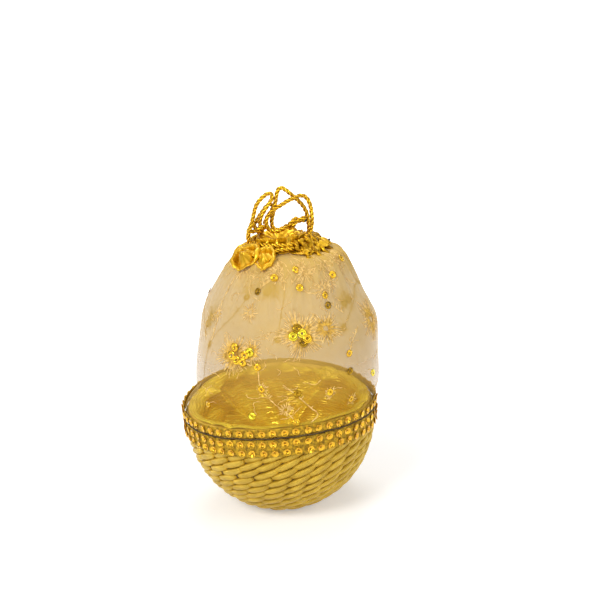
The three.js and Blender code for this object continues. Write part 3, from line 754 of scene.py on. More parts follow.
def lining_point(u, v):
    angle = FULL_TURN * u
    spot = LINING_ROUTE[round(v * (len(LINING_ROUTE) - 1))] / MM
    radius, height = spot.x, spot.z
    around = Vector((math.cos(angle), math.sin(angle), 0))
    frayed = 3.2 * noise.noise(around * 5) + 2.2 * noise.noise(around * 22)
    edge = LINING_EDGE + 8 * soft_step(0.95, 0.5, math.sin(angle)) + frayed
    if height > edge:
        radius, height = PAD_INNER - 0.6, edge
    free = soft_step(90, 80, height) * soft_step(4, 20, radius)
    puffed = 3.0 * abs(noise.noise(around * 3.3)) * soft_step(60, 68, radius)
    wander = 2.2 * math.sin(angle * 4) + 1.4 * math.sin(angle * 9) + 0.8 * math.sin(angle * 23)
    level = 0.5 + 0.5 * math.sin(height * 1.5 + wander)
    level *= 0.6 + 0.4 * math.sin(angle * 7 + height * 0.2)
    inward = 1.5 * (0.5 - 0.5 * math.cos(angle * 9 + 1.2 * math.sin(2 * angle)))
    inward += 0.8 * level
    crumple_at = Vector((around.x * 2.4, around.y * 2.4, height * 0.04))
    inward += 8.0 * abs(noise.noise(crumple_at)) + 1.4 * abs(noise.noise(crumple_at * 2.7))
    inward += sum(fold_ridge(angle, height, *ridge) for ridge in FOLD_RIDGES)
    return dip_at_rim(polar(radius - inward * free, angle,
                            height + 0.25 * inward * free + puffed))


bm = wrapped_grid(300, len(LINING_ROUTE) - 1, lining_point)
bmesh.ops.recalc_face_normals(bm, faces=bm.faces)
bmesh.ops.reverse_faces(bm, faces=bm.faces)
lining = make_object("Lining", bm, [tissue_gold], "bowl_lining")
print(f"lining: {LINING_LENGTH / MM:.0f} mm from rim to middle")

# %% [markdown]
# ## Sheer bag
# The upper bag is a tube of gold organza. Its hem is sewn over the rim and its top is drawn into
# the neck. Organza is an open weave of fine threads, so most light goes straight through one
# layer. A single surface with an alpha that varies a little, crease by crease, shows the near
# and the far wall together, as the real one does. The alpha grows where the cloth is drawn up.
# It is lowest low down at the front, where the photograph shows the lining clearly. It is a little
# lower on the left, which is painted light: more white shows through there, so the left side looks
# lit more strongly. It is also lower for light on its way to the lining, because threads scatter
# light onwards.

# %% Organza finish
SHADOW_SHARE = 0.4


def sheer_finish():
    material = cloth_finish(
        "Organza", (0.66, 0.425, 0.095), (0.59, 0.375, 0.07), roughness=0.6, blotches=26,
        bump=0.1, bump_depth=0.1, sheen=0.1)
    tree = material.node_tree
    place = add_node(tree, "TexCoord").outputs
    drape = add_node(tree, "Mapping", {"Vector": place["UV"], "Scale": (5, 3, 1)})
    at = add_node(tree, "SeparateXYZ", {"Vector": place["Object"]}).outputs
    streak = noise_texture(tree, drape.outputs["Vector"], 3, 5, 0.6)
    alpha = mapped(tree, streak, 0.3, 0.7, -0.05, 0.05)
    # The last range is painted light: a lower alpha on the left lets more white through, so that
    # side looks lit more.
    for operation, ranged in (
            ("ADD", mapped(tree, at["Z"], 0.185, 0.208, 0.0, 0.25)),
            ("ADD", mapped(tree, at["Z"], 0.100, 0.155, 0.18, 0.70)),
            ("MAXIMUM", mapped(tree, at["Y"], -0.05, 0.03, 0.0, 0.72)),
            ("MULTIPLY", mapped(tree, at["X"], -0.085, -0.010, 0.80, 1.0))):
        alpha = maths(tree, operation, alpha, ranged)
    shadow = add_node(tree, "LightPath").outputs["Is Shadow Ray"]
    lit = maths(tree, "MULTIPLY_ADD", shadow, SHADOW_SHARE - 1, 1.0)
    fill(tree, tree.nodes["Principled BSDF"], {
        "Specular IOR Level": 0.15, "Alpha": maths(tree, "MULTIPLY", alpha, lit)})
    return material


organza = sheer_finish()


# %% The sheer tube
def sheer_point(u, v):
    angle = FULL_TURN * u
    radius, lean, above = BAG_PROFILE[round(v * (len(BAG_PROFILE) - 1))]
    return dip_at_rim(polar(radius - gathers(angle, above), angle, RIM_HEIGHT + above, lean))


sheer = wrapped_piece("Sheer_Bag", 300, (len(BAG_PROFILE) - 1) // 2, sheer_point, organza,
                      "sheer_bag")

# %% [markdown]
# ## Sequin trim
# Three rows of small cup sequins on a strip of net cover the seam between bag and basket, and
# the dark seam thread runs between the first row and the second. One sequin is turned from a
# short profile, and the same few faces are set all the way round with a little tilt each, so
# that they glitter one by one.

# %% Finishes of the trim
trim_net = cloth_finish(
    "Trim_Net", (0.72, 0.45, 0.02), (0.20, 0.11, 0.004), roughness=0.7, metallic=0.5, blotches=420,
    bump=0.8, bump_depth=0.4)
cup_gold = cloth_finish(
    "Cup_Sequin_Gold", (0.88, 0.52, 0.018), (0.66, 0.33, 0.006), roughness=0.2, metallic=0.8,
    blotches=120, bump=0.1, bump_depth=0.05, coat=0.3)
dark_thread = cloth_finish(
    "Seam_Thread", (0.10, 0.062, 0.02), (0.05, 0.03, 0.01), roughness=0.8)

# %% Net bands
SEAM_HEIGHT = 81.5
SEAM_GAP = 0.9
ROW_PITCH = 7.1
UPPER_ROW = SEAM_HEIGHT + SEAM_GAP + ROW_PITCH / 2
LOWER_ROW = SEAM_HEIGHT - SEAM_GAP - ROW_PITCH / 2
UPPER_RADIUS, LOWER_RADIUS = 76.9, 76.42


def net_band(name, node, radius, top, bottom, thickness=0.8):
    middle, half = (top + bottom) / 2, (top - bottom) / 2

    def point(u, v):
        angle, turned = FULL_TURN * u, FULL_TURN * v
        out = radius + thickness / 2 + thickness / 2 * flatter(math.cos(turned), 0.5)
        rise = half * flatter(math.sin(turned), 0.35) * (1 + 0.04 * math.sin(55 * angle))
        return dip_at_rim(polar(out, angle, middle + rise))

    return wrapped_piece(name, 330, 16, point, trim_net, node)


band_half = ROW_PITCH / 2 - 0.35
band_upper = net_band("Net_Band_Upper", "trim_upper", UPPER_RADIUS, UPPER_ROW + band_half,
                      UPPER_ROW - band_half)
band_lower = net_band("Net_Band_Lower", "trim_lower", LOWER_RADIUS, LOWER_ROW + band_half,
                      LOWER_ROW - ROW_PITCH - band_half)

# %% Cup sequins
SEQUINS_PER_ROW = 55
CUP_LIFT = 0.7
CUP_PROFILE = [(0.5, 0.2), (1.5, 0.55), (2.6, 1.1), (2.95, 1.25), (2.95, 1.05), (1.6, 0.25),
               (0.55, 0.0)]


def template(name, bm):
    """A mesh that is kept aside and copied into other meshes."""
    kept = bpy.data.meshes.new(name)
    faces_outward(bm).to_mesh(kept)
    bm.free()
    return kept


def add_copy(bm, kept, matrix):
    copy = kept.copy()
    copy.transform(matrix)
    bm.from_mesh(copy)
    bpy.data.meshes.remove(copy)


def facing(point, outward, up, tilt=0.0, turn=0.0):
    """A matrix that stands Z along outward at a point, tilted and turned a little."""
    across = up.cross(outward).normalized()
    matrix = placed((across, outward.cross(across).normalized(), outward.normalized()), point)
    return matrix @ Matrix.Rotation(turn, 4, "Z") @ Matrix.Rotation(tilt, 4, "X")


cup_sequin = template("Cup_Sequin", spun(CUP_PROFILE, 10, closed=True))


def sequin_row(bm, radius, height, shift):
    for i in range(SEQUINS_PER_ROW):
        angle = FULL_TURN * (i + shift) / SEQUINS_PER_ROW + rng.uniform(-0.006, 0.006)
        outward = Vector((math.cos(angle), math.sin(angle), -0.08))
        point = dip_at_rim(polar(radius, angle, height + rng.uniform(-0.25, 0.25)))
        add_copy(bm, cup_sequin, facing(
            point, outward, Vector((0, 0, 1)), rng.uniform(-0.25, 0.25), rng.uniform(0, 6)))


trim_rows = (("Trim_Sequins_Upper", UPPER_RADIUS, [UPPER_ROW]),
             ("Trim_Sequins_Lower", LOWER_RADIUS, [LOWER_ROW, LOWER_ROW - ROW_PITCH]))
for name, radius, rows in trim_rows:
    bm = bmesh.new()
    for k, height in enumerate(rows):
        sequin_row(bm, radius + CUP_LIFT, height, 0.5 + 0.12 * k)
    make_object(name, bm, [cup_gold])


# %% Seam thread
THREAD_RADIUS = 0.45


def thread_point(u, v):
    angle, turned = FULL_TURN * u, FULL_TURN * v
    wander = 0.25 * math.sin(23 * angle + 2 * math.sin(4 * angle))
    radius = UPPER_RADIUS + THREAD_RADIUS * (1.6 + math.cos(turned))
    height = SEAM_HEIGHT + wander + THREAD_RADIUS * math.sin(turned)
    return dip_at_rim(polar(radius, angle, height))


wrapped_piece("Seam_Thread", 440, 8, thread_point, dark_thread, "seam_thread")

# %% [markdown]
# ## Satin frill
# A band of glossy satin is caught by the drawstrings: above them it stands up as a small
# ruffle, below them it turns over the shoulder as petals. The ruffle and the skirt are one
# strip, shaped as a path from the petal's edge in to the neck and up, at each angle round it.

# %% Satin finish
satin = cloth_finish(
    "Satin_Gold", (0.82, 0.49, 0.008), (0.58, 0.30, 0.003), roughness=0.26, metallic=0.5,
    blotches=70, bump=0.25, bump_depth=0.15)
# Painted shade: a darker copy of the satin for the crushed petals on the right, standing for their
# shade.
satin_painted_shade = cloth_finish(
    "Satin_Crushed_Painted_Shade", (0.60, 0.33, 0.006), (0.26, 0.12, 0.002), roughness=0.34, metallic=0.85,
    blotches=160, bump=0.5, bump_depth=0.5)

# %% Frill
PETALS = [(213, 27, 17, 4), (245, 19, 15, 3), (314, 30, 12, 3), (350, 32, 14, 5),
          (28, 36, 12, 4), (92, 45, 6, 2), (155, 38, 7, 2)]
RUFFLE_HEIGHT = 7.0


def petal_at(angle):
    reach, puff = 1.5, 0.0
    for at, wide, petal_reach, petal_puff in PETALS:
        away = abs((math.degrees(angle) - at + 540) % 360 - 180)
        share = math.cos(away / wide * math.pi / 2) if away < wide else 0.0
        reach = max(reach, petal_reach * math.sqrt(share))
        puff = max(puff, petal_puff * share)
    return reach, puff


def shoulder_height(radius):
    """Height above the rim where the bag's shoulder has that radius."""
    for near, far in zip(BAG_PROFILE[::-1], BAG_PROFILE[-2::-1]):
        if far[0] >= radius:
            share = (radius - near[0]) / max(1e-6, far[0] - near[0])
            return near[2] + (far[2] - near[2]) * min(1, max(0, share))
    return 0.0


def frill_path(angle):
    reach, puff = petal_at(angle)
    points = []
    for share in (1, 0.86, 0.7, 0.52, 0.36, 0.16):
        radius = SATIN_NECK + 0.8 + reach * share
        above = shoulder_height(radius)
        clear = soft_step(4.3, 9.2, radius - SATIN_NECK)
        crumple = 0.9 * math.sin(angle * 23 + share * 5) + 0.8 * math.sin(angle * 41 - share * 4)
        swell = puff * math.sin(math.pi * share * 0.86) * clear
        point = on_bag(angle, above) / MM
        point.z += 1.1 + swell + crumple * clear * share * min(1.0, puff / 4)
        points.append(tuple(point))
    fold = math.cos(angle * 13 + 0.8 * math.sin(3 * angle))
    frizz = math.sin(angle * 31 + 2) * soft_step(0.4, -0.4, math.sin(angle))
    notch = 1 - abs(math.cos(angle)) ** 12
    flare = (0.3 + fold) * (1.9 - 0.9 * math.sin(angle)) * notch - (1 - notch) * 2.4
    flare += 0.5 * frizz * notch
    left = max(0.0, -math.cos(angle))
    rise = (0.5 - 0.25 * math.sin(angle)) * (0.6 + 0.4 * notch) * (1 - 0.5 * left)
    height = RUFFLE_HEIGHT * rise
    for above_neck, out, up in ((1.8, 0, 0), (4.4, 0, 0), (NECK_LENGTH, 0, 0),
                                (NECK_LENGTH, flare * 0.55, height * 0.5),
                                (NECK_LENGTH, flare, height + fold * 0.8)):
        z = NECK_BOTTOM + above_neck
        points.append(tuple(polar(satin_neck(z) + out, angle, z + up, NECK_LEAN) / MM))
    return smooth_route(points, 1.0)[0]


FRILL_COLUMNS, FRILL_ROWS = 360, 40
frill_paths = [frill_path(FULL_TURN * i / FRILL_COLUMNS) for i in range(FRILL_COLUMNS)]


def place_on(path, v):
    """The corner before a share v of a path, and how far on the way to the next it is."""
    along = v * (len(path) - 1)
    k = min(len(path) - 2, int(along))
    return k, along - k


def frill_point(u, v):
    path = frill_paths[round(u * FRILL_COLUMNS) % FRILL_COLUMNS]
    k, share = place_on(path, v)
    return path[k].lerp(path[k + 1], share)


frill = wrapped_piece("Satin_Frill", FRILL_COLUMNS, FRILL_ROWS, frill_point, satin,
                      "satin_band", wall=0.5)

# %% [markdown]
# ## Petals, mouth and knob
# On the left the skirt rolls into two fat petals like those of a satin rose, with a third one
# behind them: a puffed middle, a valley round it and a rim that curls over on one side. A
# disc-shaped grid gives that shape in one rule, from the distance out and the direction. On the
# right the satin is crushed, so the same rule is used for a row of narrow petals. Inside the
# cords, the gathered satin folds over the mouth of the neck and nearly closes it.

# %% Rolled petals
RIM_SHARE = 0.84


def petal_piece(name, at, out, drop, tilt, size, puff, rim, curled, seed, spin=0.0,
                pinch=0.3, material=satin):
    """A petal on the shoulder: angle, distance from the neck's axis, drop below its bottom and
    tilt of its face, half width and half length, heights of middle and rim, curled directions."""
    turn_at, lean_at = math.radians(at), math.radians(tilt)
    away = Vector((math.cos(turn_at), math.sin(turn_at), 0))
    facing_out = away * math.cos(lean_at) + Vector((0, 0, math.sin(lean_at)))
    side = Vector((-math.sin(turn_at), math.cos(turn_at), 0))
    upslope = facing_out.cross(side)
    side, upslope = (side * math.cos(spin) + upslope * math.sin(spin),
                     upslope * math.cos(spin) - side * math.sin(spin))
    centre = Vector((NECK_LEAN, 0, NECK_BOTTOM - drop)) + away * out
    phase = random.Random(seed).uniform(0, 6)
    middle, spread = math.radians(curled[0]), math.radians(curled[1])

    def place(u, v):
        angle = FULL_TURN * u
        off = abs((angle - middle + math.pi) % FULL_TURN - math.pi)
        curl = soft_step(spread * 1.25, spread * 0.75, off)
        ruffled = 1 + 0.4 / size[0] * (math.sin(5 * angle + phase)
                                       + 0.7 * math.sin(11 * angle - phase))
        reach = min(v, RIM_SHARE) / RIM_SHARE
        height = puff * math.cos(min(1.0, reach / 0.74) * math.pi / 2) ** 1.4
        height *= 1 + 0.5 * math.sin(2 * angle + phase) * reach
        height -= 0.28 * rim * math.exp(-((reach - 0.72) / 0.12) ** 2)
        height += 0.04 * size[0] * reach * math.sin(5 * angle - phase)
        rise = rim * curl
        height += rise * soft_step(0.72, 1.0, reach)
        over = max(0.0, v - RIM_SHARE) / (1 - RIM_SHARE) * math.pi * 0.95
        roll = rise * 0.42 + 0.3
        step = roll * math.sin(over) / size[0]
        height -= roll * (1 - math.cos(over)) * (0.4 + 0.6 * curl)
        distance = (reach + step) * ruffled
        narrowed = 1 - pinch * max(0.0, -math.sin(angle)) ** 1.5
        flat = side * math.cos(angle) * size[0] * narrowed + upslope * math.sin(angle) * size[1]
        return (centre + flat * distance + facing_out * height) * MM

    return wrapped_piece(name, 72, 34, place, material, wall=0.4)


petals = [
    petal_piece("Petal_Left_Front", 219, 35, 2.6, 60, (10.4, 11.4), 7.5, 5.0, (120, 120), 3),
    petal_piece("Petal_Left_Middle", 247, 34, 1.2, 62, (7.4, 10.6), 5.0, 3.2, (20, 110), 5, 0.2),
    petal_piece("Petal_Left_Back", 190, 30, 0.6, 60, (8, 8), 4.0, 3.0, (120, 120), 7),
]
CRUSHED = [
    (309, 28, -1.4, 52, 4.6, 7.5, 0.5), (314, 31, 0.6, 50, 4.4, 8.5, -0.7),
    (321, 29, -2.4, 52, 4.6, 8.0, 0.6), (328, 32, 0.0, 48, 4.6, 8.5, -0.5),
    (335, 29, -3.2, 50, 4.8, 8.0, 0.6), (342, 32, -0.6, 48, 4.8, 8.5, -0.6),
    (349, 29, -3.6, 50, 5.0, 8.0, 0.6), (356, 32, -1.0, 50, 5.2, 8.5, -0.5),
    (4, 29, -3.4, 52, 5.2, 8.0, 0.5), (15, 31, -0.8, 54, 5.4, 8.0, -0.4),
    (29, 29, -0.4, 58, 5.6, 7.0, 0.3), (54, 27, 2.0, 55, 7.0, 5.5, 0.2),
    (88, 27, 2.2, 50, 8.0, 5.0, -0.2), (124, 27, 2.2, 50, 8.0, 5.0, 0.2),
    (158, 28, 2.0, 52, 7.0, 6.0, 0.0)]
for i, (at, out, drop, tilt, wide, long, spin) in enumerate(CRUSHED, 1):
    petals.append(petal_piece(
        f"Crushed_Petal_{i:02d}", at, out, drop, tilt, (wide, long), 3.0, 3.2,
        (200 - 140 * (i % 2), 100), 20 + i, spin, 0.2, satin_painted_shade))


# %% Folds over the mouth, in a deeper satin
satin_deep = cloth_finish(
    "Satin_Deep", (0.88, 0.52, 0.01), (0.50, 0.25, 0.003), roughness=0.36, metallic=0.8,
    blotches=90, bump=0.15, bump_depth=0.3)


def mouth_point(u, v):
    angle = FULL_TURN * u
    fold = math.sin(7 * angle + 0.9 * math.sin(2 * angle + 1))
    small = math.sin(19 * angle + 2)
    points = ((18.0, 217.5), (17.4, 221.0 + 0.5 * fold), (14.6, 222.6 + 0.7 * fold),
              (10.5 + 1.2 * fold, 221.4 + 1.3 * fold + 0.3 * small), (6.5 + fold, 219.2 + fold),
              (3.2, 216.5))
    k, share = place_on(points, v)
    t = soft_step(0, 1, share) * 0.4 + share * 0.6
    radius, height = (points[k][n] + (points[k + 1][n] - points[k][n]) * t for n in (0, 1))
    return polar(radius, angle + 0.35 * v, height, NECK_LEAN)


mouth = wrapped_piece("Mouth_Folds", 220, 40, mouth_point, satin_deep)
mouth.modifiers.new("Softness", "SMOOTH").iterations = 6


# %% Knob and scorched corner
def lump(name, centre, half, ripple, material):
    """A crumpled little ball of satin."""
    bm = bmesh.new()
    bmesh.ops.create_uvsphere(bm, u_segments=32, v_segments=20, radius=1)
    for vert in bm.verts:
        around = math.atan2(vert.co.y, vert.co.x)
        folded = 1 + ripple * math.sin(5 * around + 3 * vert.co.z) * (1 - vert.co.z ** 2)
        vert.co = Vector([(c * h * folded + m) * MM for c, h, m in zip(vert.co, half, centre)])
    return make_object(name, bm, [material])


petals += [mouth, lump("Satin_Knob", (18.9, -6.5, 221.4), (3.1, 2.6, 4.0), 0.16, satin),
           lump("Scorched_Corner", (47.4, -1.5, 215.6), (0.9, 0.9, 0.8), 0.1, cord_tip)]

# %% [markdown]
# ## Embroidery and loose sequins
# Sprays of silky thread are embroidered on the organza, with vines between them and sequins
# sewn on. Each stitch is a tapered sliver laid on the bag's surface, so that a few hundred of
# them make a feathery flower that has real thickness and catches light from any side.

# %% Embroidery finishes
thread_peach = cloth_finish(
    "Thread_Peach", (1.0, 0.70, 0.25), (0.52, 0.29, 0.04), roughness=0.6, blotches=420,
    bump=0.2, bump_depth=0.1)
# Painted light: flowers on the far wall get a paler, partly see-through copy of the thread, so they
# don't look dark in the shade inside the bag.
thread_far = cloth_finish(
    "Thread_Far_Painted_Light", (0.90, 0.68, 0.36), (0.80, 0.56, 0.24), roughness=0.5, blotches=220,
    bump=0.2, bump_depth=0.1)
fill(thread_far.node_tree, thread_far.node_tree.nodes["Principled BSDF"], {"Alpha": 0.35})
thread_gold = cloth_finish(
    "Thread_Gold", (0.86, 0.52, 0.06), (0.34, 0.17, 0.012), roughness=0.38, metallic=0.3,
    blotches=420, bump=0.2, bump_depth=0.1)
# The bright shade is a painted highlight: a lighter, yellower copy of the gold for sequins that
# catch a glint.
SHADES = {}
for shade, light, dark, roughness, metallic, coat in (
        ("gold", (0.84, 0.52, 0.02), (0.62, 0.33, 0.01), 0.2, 0.75, 0.1),
        ("bright", (0.90, 0.74, 0.03), (0.60, 0.44, 0.012), 0.15, 0.8, 0.2),
        ("brown", (0.46, 0.26, 0.01), (0.16, 0.08, 0.004), 0.2, 0.85, 0.0)):
    SHADES[shade] = cloth_finish(
        f"Sequin_{shade.title()}", light, dark, roughness, metallic, 150, bump=0.05,
        bump_depth=0.05, coat=coat)


# %% Stitches laid on the bag
def bag_spot(at, height, out=0.3):
    """A point just off the organza, from an angle in degrees and a height in millimetres."""
    return on_bag(math.radians(at), height - RIM_HEIGHT, out)


def bag_outward(at, height):
    spot = bag_spot(at, height)
    side = bag_spot(at + 1.5, height) - bag_spot(at - 1.5, height)
    up = bag_spot(at, height + 1) - bag_spot(at, height - 1)
    return side.cross(up).normalized(), up.normalized(), spot


bm = bmesh.new()
bmesh.ops.create_cone(bm, cap_ends=True, segments=4, radius1=0.75, radius2=0.45, depth=1.1)
stitch_sliver = template("Stitch_Sliver", bm)
heart_sliver = stitch_sliver.copy()
for polygon in heart_sliver.polygons:
    polygon.material_index = 1
SHORTEST_STITCH = 1e-6
STITCH_HEIGHT = 0.3
HIGHEST_STITCH = 211


def add_stitch(bm, start, end, outward, width, kept=stitch_sliver):
    """A tapered sliver with four sides from start to end."""
    along = end - start
    if along.length < SHORTEST_STITCH:
        return
    across = outward.cross(along).normalized()
    out = along.cross(across).normalized()
    axes = (across * width * MM, out * STITCH_HEIGHT * MM, along)
    add_copy(bm, kept, placed(axes, (start + end) / 2))


def spray(bm, at, height, size, rays, width, inner=0.4, skew=(1.0, 1.0), kept=stitch_sliver):
    """A flower: long stitches that radiate from a ring round the centre."""
    radius, _ = bag_at(height - RIM_HEIGHT)
    outward, _, _ = bag_outward(at, height)

    def spot(reach, angle, out=0.35):
        turned = at + math.degrees(reach * math.cos(angle) * skew[0] / radius)
        return bag_spot(turned, height + reach * math.sin(angle) * skew[1], out)

    for i in range(rays):
        angle = FULL_TURN * (i + rng.uniform(-0.35, 0.35)) / rays
        lobe = 0.86 + 0.14 * math.sin(angle * 5 + at)
        near = size * inner * rng.uniform(0.75, 1.25)
        far = size * lobe * rng.uniform(0.86, 1.0)
        bend = rng.uniform(-0.06, 0.06)
        middle = spot((near + far) / 2, angle + bend, 0.55)
        thick = width * rng.uniform(0.8, 1.2)
        add_stitch(bm, spot(near, angle), middle, outward, thick, kept)
        add_stitch(bm, middle, spot(far, angle + bend * 1.6), outward, thick * 0.9, kept)


def vine(bm, points, width):
    """A wandering line of small stitches through (angle, height) points."""
    route = smooth_route([(a, 0, h) for a, h in points], 1.6)[0]
    spots = [p / MM for p in route]
    for a, b in zip(spots, spots[1:]):
        outward, _, _ = bag_outward(a.x, a.z)
        wobble = rng.uniform(-0.35, 0.35)
        add_stitch(bm, bag_spot(a.x, a.z + wobble), bag_spot(b.x, b.z + wobble * 0.5), outward,
                   width)
        if rng.random() < 0.16:
            reach = rng.choice((-1, 1)) * rng.uniform(2, 4)
            add_stitch(bm, bag_spot(a.x, a.z),
                       bag_spot(a.x + reach * 0.5, a.z + abs(reach) * 0.8), outward, width)


def scribble(bm, at, height, steps, width):
    """A short wandering line of stitches, as hand embroidery fills a ground."""
    heading = rng.uniform(0, FULL_TURN)
    for _ in range(steps):
        heading += rng.uniform(-0.9, 0.9)
        next_at = at + 1.5 * math.cos(heading)
        next_height = min(HIGHEST_STITCH, height + 1.3 * math.sin(heading))
        outward, _, _ = bag_outward(at, height)
        add_stitch(bm, bag_spot(at, height), bag_spot(next_at, next_height), outward, width)
        at, height = next_at, next_height


# %% Flowers
FLOWERS = [
    ("Flower_Left", [(-128.5, 145, 18.5, 58, (1, 1)), (-115, 150, 12, 26, (0.9, 1))]),
    ("Flower_Front", [(-83.3, 161.3, 20, 64, (1, 1)), (-65.5, 163, 16, 34, (1, 0.85))]),
    ("Flower_Right", [(-22, 156, 17, 44, (1, 1.15))]),
    ("Flower_Back_Right", [(45, 149, 16, 36, (1, 1))]),
    ("Flower_Back", [(100, 157, 17, 38, (1, 1)), (116, 160, 11, 20, (1, 0.8))]),
    ("Flower_Back_Left", [(152, 147, 15, 34, (1, 1))]),
]
for name, blooms in FLOWERS:
    bm = bmesh.new()
    far_side = "Back" in name
    for at, height, size, rays, skew in blooms:
        spray(bm, at, height, size, rays, 0.5 if far_side else 0.66, skew=skew)
        spray(bm, at, height, size * 0.66, rays, 0.8, 0.25, skew, heart_sliver)
    threads = [thread_far, thread_far] if far_side else [thread_peach, thread_gold]
    make_object(name, bm, threads, name.lower(), smooth=False)

# %% Vines and small sprays
VINES = [
    [(-136, 207), (-144.5, 203), (-147.6, 185), (-145.3, 167.6), (-149, 151.5)],
    [(-80.8, 193), (-71, 188), (-60, 190), (-46.3, 196.8)],
    [(-119.6, 150), (-110.8, 138), (-107.6, 121), (-93, 100.6), (-81, 90.6)],
    [(-94.7, 124.8), (-86, 114), (-78.3, 102.7), (-71.8, 95), (-73.6, 90)],
    [(-116.5, 191), (-112, 196), (-104, 200.7)],
    [(-60, 185), (-56, 178), (-48, 170)],
    [(-52, 140.5), (-48, 150), (-40, 158)],
    [(20, 173), (34, 160), (48, 123), (60, 110)],
    [(75, 183), (88, 170), (92, 140), (95, 108)],
    [(118, 153), (128, 140), (150, 123), (160, 100)],
    [(172, 178), (166, 160), (158, 130)],
]
bm = bmesh.new()
for points in VINES:
    vine(bm, points, 0.7)
SMALL_SPRAYS = [
    (-142, 203, 7, 9), (-75, 203, 10, 12), (-62, 190, 9, 12), (-52, 192, 8, 10),
    (-31, 203, 6, 8), (-118, 177, 8, 10), (-147, 172, 6, 8), (-107, 121, 6, 8),
    (-66, 113, 6, 8), (-49, 102, 6, 8), (-93, 103, 7, 9), (30, 195, 8, 10), (75, 198, 8, 10),
    (130, 198, 8, 10), (48, 123, 6, 8), (150, 123, 6, 8), (-104, 205, 8, 9)]
for at, height, size, tufts in SMALL_SPRAYS:
    spray(bm, at, height, size, tufts * 2, 0.6, 0.25)
for _ in range(110):
    scribble(bm, rng.uniform(-136, -8), 210 - 13 * rng.random() ** 1.4, rng.randint(4, 9), 0.55)
for _ in range(40):
    scribble(bm, rng.uniform(10, 210), rng.uniform(199, 210), rng.randint(4, 7), 0.5)
for _ in range(46):
    scribble(bm, rng.uniform(-160, -15), rng.uniform(95, 196), rng.randint(5, 12), 0.4)
vines = make_object("Vines", bm, [thread_peach], smooth=False)

# %% Loose sequins
LOOSE_SEQUINS = [
    (-116.5, 191.1), (-104.1, 200.7), (-83.9, 205.2), (-80.8, 193.1), (-46.3, 196.8),
    (-23.2, 204.5), (-59.4, 178.2), (-60.3, 185.4), (-52.1, 140.5), (-51.4, 126.2), (-26.5, 114.8),
    (-110.8, 138.3), (-107.6, 120.9), (-86.2, 116.2), (-150.9, 99.8), (-113, 97.6), (-66, 113.5),
    (-49.8, 102), (-83.5, 92.3), (20, 173), (48, 123), (75, 183), (95, 108), (118, 153), (150, 123),
    (172, 178)]
# Shades other than gold: brown sequins, and sequins that carry a painted glint.
ODD_SHADES = {
    1: "brown", 7: "brown", 10: "brown", 11: "bright", 14: "brown", 16: "bright", 21: "brown",
    23: "bright", 26: "brown"}
FLOWER_SEQUINS = {
    "gold": [
        (-119.6, 146.6), (-120.9, 141), (-127.1, 151.5), (-129.2, 145), (-125.3, 141.9),
        (-79.2, 158.5), (44, 149), (151, 147), (155, 143)],
    "bright": [
        (-116.2, 149.3), (-87.8, 161.1), (-81.8, 162.5), (48, 145), (99, 158)],
    "brown": [
        (-84.6, 166.3), (-82.2, 156), (103, 154)]}
SEQUIN_PROFILE = [(0.75, 0.0), (1.9, 0.28), (3.0, 0.0), (3.0, 0.25), (1.9, 0.55), (0.75, 0.28)]
flat_sequin = template("Flat_Sequin", spun(SEQUIN_PROFILE, 16, closed=True))


def sequin_piece(name, spots, shade, node=None, out=0.75, scale=1.0):
    bm = bmesh.new()
    for at, height in spots:
        outward, up, _ = bag_outward(at, height)
        add_copy(bm, flat_sequin, facing(
            bag_spot(at, height, out), outward, up, rng.uniform(-0.16, 0.16),
            rng.uniform(0, 6)) @ Matrix.Scale(scale, 4))
    make_object(name, bm, [SHADES[shade]], node)


for i, spot in enumerate(LOOSE_SEQUINS, 1):
    sequin_piece(f"Loose_Sequin_{i:02d}", [spot], ODD_SHADES.get(i, "gold"), f"sequin_{i:02d}")
for shade, spots in FLOWER_SEQUINS.items():
    sequin_piece(f"Flower_Sequins_{shade.title()}", spots, shade, None, 1.3, 1.2)

# %% [markdown]
# ## Floor, light and background
# The photograph is a cut-out on white with a faint soft shadow. The floor is a diffuse white
# that also glows a little towards the camera, so that it renders white where nothing shades it
# and keeps the bag's shadow. Three large soft lamps light the bag at a plain level. The world
# is white for the camera, and darker towards the ground where metal mirrors it.

# %% Floor
def seen_by_camera(tree):
    """1 for the camera, mirrors and glass, and 0 for the light that surfaces pass on."""
    rays = add_node(tree, "LightPath").outputs
    seen = rays["Is Camera Ray"]
    for ray in ("Is Glossy Ray", "Is Transmission Ray"):
        seen = maths(tree, "MAXIMUM", seen, rays[ray])
    return seen


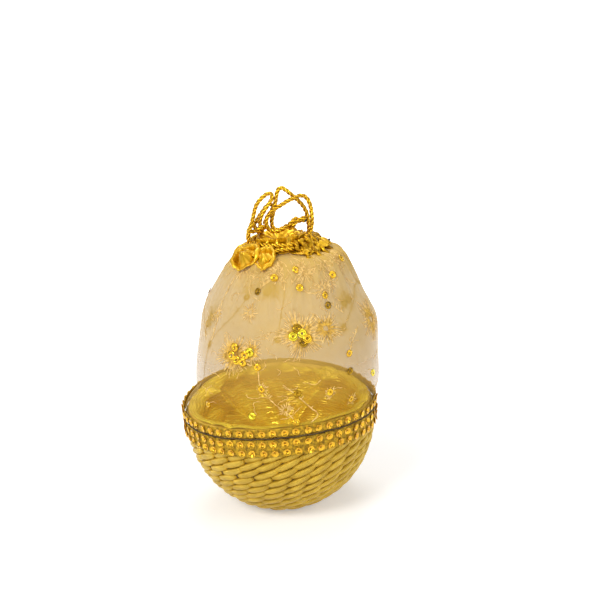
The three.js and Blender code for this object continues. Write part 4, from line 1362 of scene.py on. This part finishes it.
floor_white = bpy.data.materials.new("Floor_White")
floor_white.use_nodes = True
tree = floor_white.node_tree
place = add_node(tree, "TexCoord").outputs["Object"]
from_bag = add_node(tree, "VectorMath", {0: place}, "LENGTH").outputs["Value"]
glow = mapped(tree, from_bag, 0.12, 0.7, 0.34, 0.9)
fill(tree, tree.nodes["Principled BSDF"], {
    "Base Color": (0.82, 0.82, 0.82, 1), "Roughness": 1, "Specular IOR Level": 0,
    "Emission Color": (1, 1, 1, 1),
    "Emission Strength": maths(tree, "MULTIPLY", glow, seen_by_camera(tree))})
bm = bmesh.new()
bmesh.ops.create_grid(bm, x_segments=2, y_segments=2, size=9)
floor_mesh = bpy.data.meshes.new("Floor")
bm.to_mesh(floor_mesh)
bm.free()
floor_mesh.materials.append(floor_white)
floor = bpy.data.objects.new("Floor", floor_mesh)
bpy.context.scene.collection.objects.link(floor)

# %% World and lamps
world = bpy.data.worlds.new("Studio")
bpy.context.scene.world = world
world.use_nodes = True
tree = world.node_tree
rays = add_node(tree, "LightPath").outputs
direction = add_node(tree, "TexCoord").outputs["Generated"]
upward = add_node(tree, "SeparateXYZ", {"Vector": direction}).outputs["Z"]
mirrored = mapped(tree, upward, 0.0, 0.8, 0.08, 1.2)
lighting = mapped(tree, rays["Is Glossy Ray"], 0.0, 1.0, 0.45, mirrored)
sky = mapped(tree, rays["Is Camera Ray"], 0.0, 1.0, lighting, 1.0)
fill(tree, tree.nodes["Background"], {"Color": (1, 1, 1, 1), "Strength": sky})


def soft_lamp(name, place, size, watts):
    data = bpy.data.lights.new(name, "AREA")
    data.shape = "RECTANGLE"
    data.size, data.size_y = size
    data.energy = watts
    lamp = bpy.data.objects.new(name, data)
    bpy.context.scene.collection.objects.link(lamp)
    aim = (BALL_CENTRE + Vector((0, 0, 0.05)) - Vector(place)).to_track_quat("-Z", "Y")
    lamp.matrix_world = Matrix.Translation(place) @ aim.to_matrix().to_4x4()


soft_lamp("Key_Left", (-0.9, -1.1, 1.25), (0.8, 0.6), 19)
soft_lamp("Fill_Right", (1.2, -0.7, 0.8), (0.9, 0.9), 6)
soft_lamp("Top_Back", (0.1, 0.8, 1.4), (1.0, 0.6), 8)

# %% Colour management
bpy.context.scene.view_settings.view_transform = "Standard"
